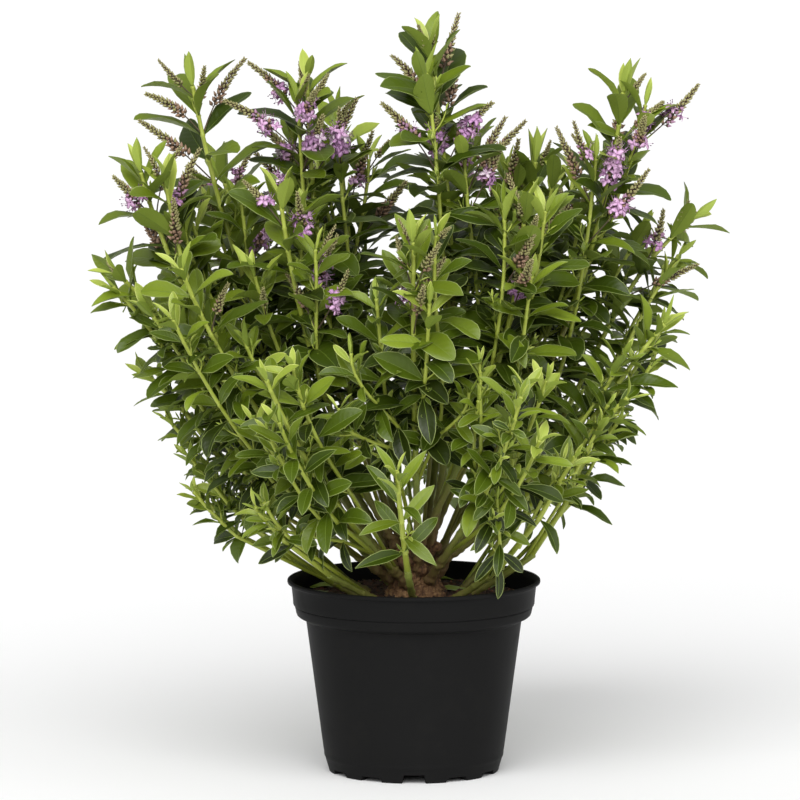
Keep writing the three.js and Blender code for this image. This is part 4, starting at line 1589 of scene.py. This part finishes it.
def spikes_of(b, shoot, under, turn, whole, rng):
    """Flower spikes for the upper leaf axils of a tall shoot. Each line is a cubic curve that
    leaves the stem outward and bends up or over."""
    above = shoot.line[-1, 2] - b.lowest
    if shoot.order > 1 or above < 0:
        return []
    often = b.often * (1.0 if shoot.order == 0 else 0.22) * min(1.0, 0.35 + above / (70 * MM))
    made = []
    for pair, half in ((pair, half) for pair in range(1, min(7, len(turn))) for half in (0, 1)):
        taken = rng.uniform() < often and pair < 6
        grown = min(1.0, 0.3 + 0.2 * pair) * min(1.0, 0.55 + above / (130 * MM))
        (foot,), (way,) = at(shoot.line, np.array([whole - under[2 * pair]]))
        out = across(way, turn[pair] + half * math.pi + rng.normal(0, 0.2))
        long = b.spike * grown * rng.uniform(0.72, 1.1)
        leave = unit(way + out * rng.uniform(0.45, 0.8))
        arrive = unit(way * rng.uniform(0.1, 0.9) + out * rng.uniform(0.4, 1.0) + UP * 0.35)
        end = foot + unit(leave * 1.1 + arrive) * long
        pulls = foot + leave * 0.42 * long, end - arrive * 0.3 * long
        line = bezier(foot, *pulls, end, SPIKE_POINTS)
        if abs(end[0]) < CAD_BOX[1][0]:
            made.append(Spike(line, grown, taken))
    return made


def open_spikes(b, spikes):
    """Opens some of the grown spikes, and takes and opens the one nearest to each place of fullest
    blossom."""
    rng = np.random.default_rng(53)
    for spike in spikes:
        chance, opened = rng.uniform(size=2)
        often = b.open * (1 if spike.line[0, 1] < 0 else 2.4)
        if spike.taken and spike.grown > 0.65 and chance < often:
            spike.opened = 0.08 + 0.2 * opened
    place = np.array([spike.line[SPIKE_POINTS // 2] for spike in spikes])
    grown = np.array([spike.grown for spike in spikes])
    hidden = 0.6 * np.maximum(place[:, 1] + 20 * MM, 0) + 0.03 * (1 - grown)
    for right, high, opened in IN_BLOOM:
        far = np.hypot(place[:, 0] - right * MM, place[:, 2] - high * MM) + hidden
        chosen = int(np.argmin(far))
        spikes[chosen].taken, spikes[chosen].opened = True, opened
        hidden[chosen] = 1
    return [spike for spike in spikes if spike.taken]


def make_blossom(b, spikes):
    """Stalks, buds and open flowers of the spikes. Buds sit round the upper part of each stalk at
    golden-angle steps, the largest lowest. On spikes that have opened, flowers of four lobes stand
    out below the buds."""
    rng = np.random.default_rng(51)
    spikes = open_spikes(b, spikes)
    lines = np.array([spike.line for spike in spikes])
    opened = np.array([spike.opened for spike in spikes])[:, None]
    grown = np.array([spike.grown for spike in spikes])[:, None]
    many = len(lines)
    shape = (many, BUDS_EACH)
    stalks, buds = Piece(), Piece()
    add_threads(stalks, lines, 0.62, 0.28)
    # Where each bud sits: a share of the way along its spike, and a turn round it.
    begin = rng.uniform(0.28, 0.38, (many, 1))
    up = np.arange(BUDS_EACH) / (np.round(BUDS_EACH * (0.35 + 0.65 * grown)) - 1)
    there = up <= 1
    up = np.minimum(up, 1)
    place = (begin + (1 - begin) * up**0.92) * (SPIKE_POINTS - 1)
    low = np.clip(np.floor(place).astype(int), 0, SPIKE_POINTS - 2)
    below, above = (lines[np.arange(many)[:, None], low + k] for k in (0, 1))
    part = (place - low)[..., None]
    foot = below * (1 - part) + above * part
    way = unit(above - below)
    turn = np.arange(BUDS_EACH) * GOLDEN + rng.uniform(0, TURN, (many, 1))
    turn = turn + rng.normal(0, 0.15, shape)
    out = across(way, turn)
    is_open = (up < opened) & (rng.uniform(size=shape) < 0.5) & there
    # Pedicels and buds.
    stem = (2.4 - 1.8 * up) * grown * MM * rng.uniform(0.85, 1.15, shape)
    lean = unit(out + way * (0.75 + 0.7 * up)[..., None])
    start = foot + lean * stem[..., None]
    bud = ~is_open & there
    size = b.bud * (1.0 - 0.5 * up**1.2) * (0.35 + 0.65 * grown) * rng.uniform(0.88, 1.1, shape)
    kind = (1 - up) * 2.6 * grown - 1.2 + rng.normal(0, 0.3, shape)
    kind = np.clip(np.round(kind), 0, 1).astype(int)
    near_open = (opened > 0) & (up < opened + 0.18)
    kind = np.where(near_open & (rng.uniform(size=shape) < 0.5), 2, kind)
    points = spindles(start[bud], lean[bud], size[bud], size[bud] * 0.33, BUD, 4, turn[bud])
    finish = np.stack([np.full(bud.sum(), 0), kind[bud] + 1], 1)
    buds.add_rings(points, 4, (0, 0.4, 1.0), np.repeat(finish, 4, axis=1), finish)
    points = spindles(foot[there], lean[there], stem[there] + 0.3 * MM, 0.3 * MM, PEDICEL, 3)
    stalks.add_rings(points, 3, PEDICEL[0])
    stalks.finished("flower_stalks", grained(b, "flower_", ("stalk",), BUD_GRAIN))
    buds.finished("flower_buds", grained(b, "flower_", BUDS, BUD_GRAIN))
    make_flowers(b, foot[is_open], lean[is_open], turn[is_open], rng)


def make_flowers(b, foot, lean, turn, rng):
    """Open flowers: a calyx with a narrow tube, four lobes spread round its mouth, and two
    stamens."""
    n = len(foot)
    flowers = Piece()
    tint = rng.choice(3, n, p=(0.45, 0.4, 0.15))
    start = foot + lean * (rng.uniform(2.0, 3.4, n) * MM)[:, None]
    long = rng.uniform(3.0, 4.2, n) * MM
    calyx = np.full(n, PETALS.index("calyx"))
    points = spindles(start, lean, long, 1.0 * MM, FLOWER_TUBE, 6)
    finish = np.repeat(np.stack([calyx, tint, tint], 1), 6, axis=1)
    flowers.add_rings(points, 6, FLOWER_TUBE[0], finish, np.stack([calyx, tint], 1))
    mouth = start + lean * long[:, None]
    add_lobes(flowers, b, mouth, lean, turn, tint, rng)
    # Two stamens with dark ends.
    lean2 = np.repeat(lean, 2, 0)
    way = unit(lean2 + 0.35 * across(lean2, np.repeat(turn, 2) + np.tile([0.6, -0.6], n)))
    long = rng.uniform(4.2, 6.0, 2 * n) * MM
    foot = np.repeat(mouth, 2, 0)
    flowers.add_rings(spindles(foot, way, long, 0.16 * MM, ((0, 1), (1, 0.8)), 3), 3, (0, 1))
    points = spindles(foot + way * long[:, None], way, 1.3 * MM, 0.5 * MM, ANTHER, 4)
    flowers.add_rings(points, 4, ANTHER[0], PETALS.index("anther"))
    flowers.finished("flowers", grained(b, "petal_", PETALS, PETAL_GRAIN))


def add_lobes(flowers, b, mouth, lean, turn, tint, rng):
    """Adds four lobes to each flower. A lobe is a small blade, as rings of four points: its
    margins, its upper side and its underside."""
    n = len(mouth)
    turn = turn[:, None] + math.pi / 4 + np.arange(4) * math.pi / 2 + rng.normal(0, 0.12, (n, 4))
    lean = np.repeat(lean, 4, 0)
    out = across(lean, turn.ravel())
    way = unit(out + lean * rng.uniform(-0.15, 0.55, (4 * n, 1)))
    face = unit(lean - (lean * way).sum(-1, keepdims=True) * way)
    side = np.cross(way, face)[:, None, None]
    long = (b.lobe * rng.uniform(0.85, 1.15, 4 * n))[:, None]
    v = np.array([0.0, 0.3, 0.62, 0.88, 1.0])
    half = 0.34 * long * np.array([0.4, 0.85, 1.0, 0.66, 0.12])
    rise = long * (0.12 * np.sin(v * math.pi) - rng.uniform(0.0, 0.3, (4 * n, 1)) * v**2)
    spine = np.repeat(mouth, 4, 0)[:, None] + way[:, None] * (long * v)[..., None]
    spine = spine + face[:, None] * rise[..., None]
    x = np.stack([-half, 0 * half, half, 0 * half], -1)[..., None]
    y = np.stack([0.22 * half, 0 * half, 0.22 * half, 0 * half - PETAL_THICK], -1)[..., None]
    points = (spine[:, :, None] + side * x + face[:, None, None] * y).reshape(4 * n, -1, 3)
    flowers.add_rings(points, 4, v, np.repeat(tint, 4)[:, None], around=(0, 0.3, 0.6, 0.8, 1.0))


# ---- the stage ----------------------------------------------------------------------------------

FLOOR_REACH = 30.0
KEY_WAY, FILL_WAY = (-0.2, -0.84, 0.7), (0.7, -0.6, 0.5)  # where the lights come from


def lamp(scene, name, way, strength, width):
    """A broad soft light that shines from a direction."""
    data = bpy.data.lights.new(name, "SUN")
    data.energy, data.angle = strength, width
    made = bpy.data.objects.new(name, data)
    scene.collection.objects.link(made)
    x, y, z = unit(np.array(way, float))
    made.rotation_euler = (math.acos(z), 0.0, math.atan2(x, -y))


def make_stage(scene):
    """A wide pale floor, a soft key light from the upper left, a fill from the right, light all
    round and the camera in front, looking a little down."""
    t = scene.hebe_stage
    mesh = bpy.data.meshes.new("floor")
    square = FLOOR_REACH * np.array([(-1, -1, 0), (1, -1, 0), (1, 1, 0), (-1, 1, 0)])
    mesh.from_pydata(square, [], [(0, 1, 2, 3)])
    floor = bpy.data.objects.new("floor", mesh)
    scene.collection.objects.link(floor)
    f = Finish("floor_paint", tone(t, "floor"), 0.8)
    f.feed(Roughness=f.noise(f.on_object(), 3.0) * 0.1 + 0.75)
    mesh.materials.append(f.material)
    world = bpy.data.worlds.new("studio")
    world.use_nodes = True
    tree = world.node_tree
    back = tree.nodes["Background"]
    back.inputs["Color"].default_value = (1, 1, 1, 1)
    # The walls of the studio are dimmer than its ceiling.
    way = tree.nodes.new("ShaderNodeTexCoord")
    parts = tree.nodes.new("ShaderNodeSeparateXYZ")
    rise = tree.nodes.new("ShaderNodeMapRange")
    tree.links.new(way.outputs["Generated"], parts.inputs[0])
    tree.links.new(parts.outputs["Z"], rise.inputs["Value"])
    span = {"From Min": 0.1, "From Max": 0.8, "To Min": t.walls, "To Max": t.sky}
    for name, value in span.items():
        rise.inputs[name].default_value = value
    tree.links.new(rise.outputs["Result"], back.inputs["Strength"])
    scene.world = world
    lamp(scene, "key_light", KEY_WAY, t.key, t.soft)
    lamp(scene, "fill_light", FILL_WAY, t.fill, t.soft)
    data = bpy.data.cameras.new("camera")
    data.lens, data.sensor_width = t.lens, 36.0
    data.clip_end = 100.0
    camera = bpy.data.objects.new("camera", data)
    camera.location = (t.camera_across, -t.camera_back, t.camera_height)
    down = math.atan2(t.camera_height - t.aim_height, t.camera_back)
    camera.rotation_euler = (math.pi / 2 - down, 0.0, 0.0)
    scene.collection.objects.link(camera)
    scene.camera = camera
    scene.view_settings.view_transform = "Standard"


# ---- operators ----------------------------------------------------------------------------------


class HEBE_OT_pot(bpy.types.Operator):
    """Turn the nursery pot, with its feet, slots and drain holes"""

    bl_idname = "hebe.pot"
    bl_label = "Pot"

    def execute(self, context):
        make_pot(context.scene.hebe_pot)
        return {"FINISHED"}


class HEBE_OT_compost(bpy.types.Operator):
    """Fill the pot with compost and scatter its crumbs"""

    bl_idname = "hebe.compost"
    bl_label = "Compost"

    def execute(self, context):
        make_compost(context.scene.hebe_compost)
        make_crumbs(context.scene.hebe_compost)
        return {"FINISHED"}


class HEBE_OT_wood(bpy.types.Operator):
    """Grow the trunk and the boughs, with their bark"""

    bl_idname = "hebe.wood"
    bl_label = "Trunk and boughs"

    def execute(self, context):
        make_trunk(context.scene.hebe_wood)
        make_boughs(context.scene)
        return {"FINISHED"}


class HEBE_OT_crown(bpy.types.Operator):
    """Grow the shoots, their leaves and their flower spikes"""

    bl_idname = "hebe.crown"
    bl_label = "Shoots, leaves and blossom"

    def execute(self, context):
        make_crown(context.scene)
        return {"FINISHED"}


class HEBE_OT_stage(bpy.types.Operator):
    """Lay the floor, and set the lights and the camera"""

    bl_idname = "hebe.stage"
    bl_label = "Stage"

    def execute(self, context):
        make_stage(context.scene)
        return {"FINISHED"}


class HEBE_PT_panel(bpy.types.Panel):
    """Lists the sizes, the colours and the pieces"""

    bl_label = "Potted hebe"
    bl_idname = "HEBE_PT_panel"
    bl_space_type = "VIEW_3D"
    bl_region_type = "UI"
    bl_category = "Hebe"

    def draw(self, context):
        for operator in OPERATORS:
            self.layout.operator(operator.bl_idname)
        for key, group in GROUPS.items():
            box = self.layout.box()
            box.label(text=group.__doc__)
            for name in group.__annotations__:
                box.prop(getattr(context.scene, key), name)


GROUPS = {
    "hebe_pot": HebePot,
    "hebe_compost": HebeCompost,
    "hebe_wood": HebeWood,
    "hebe_shoots": HebeShoots,
    "hebe_leaves": HebeLeaves,
    "hebe_blossom": HebeBlossom,
    "hebe_stage": HebeStage,
}
OPERATORS = (HEBE_OT_pot, HEBE_OT_compost, HEBE_OT_wood, HEBE_OT_crown, HEBE_OT_stage)


def register():
    for group in (*GROUPS.values(), *OPERATORS, HEBE_PT_panel):
        bpy.utils.register_class(group)
    for key, group in GROUPS.items():
        setattr(bpy.types.Scene, key, PointerProperty(type=group))


def unregister():
    for key in GROUPS:
        delattr(bpy.types.Scene, key)
    for group in (HEBE_PT_panel, *OPERATORS[::-1], *list(GROUPS.values())[::-1]):
        bpy.utils.unregister_class(group)


def main():
    register()
    for operator in OPERATORS:
        family, name = operator.bl_idname.split(".")
        getattr(getattr(bpy.ops, family), name)()
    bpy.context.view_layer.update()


if __name__ == "__main__":
    main()
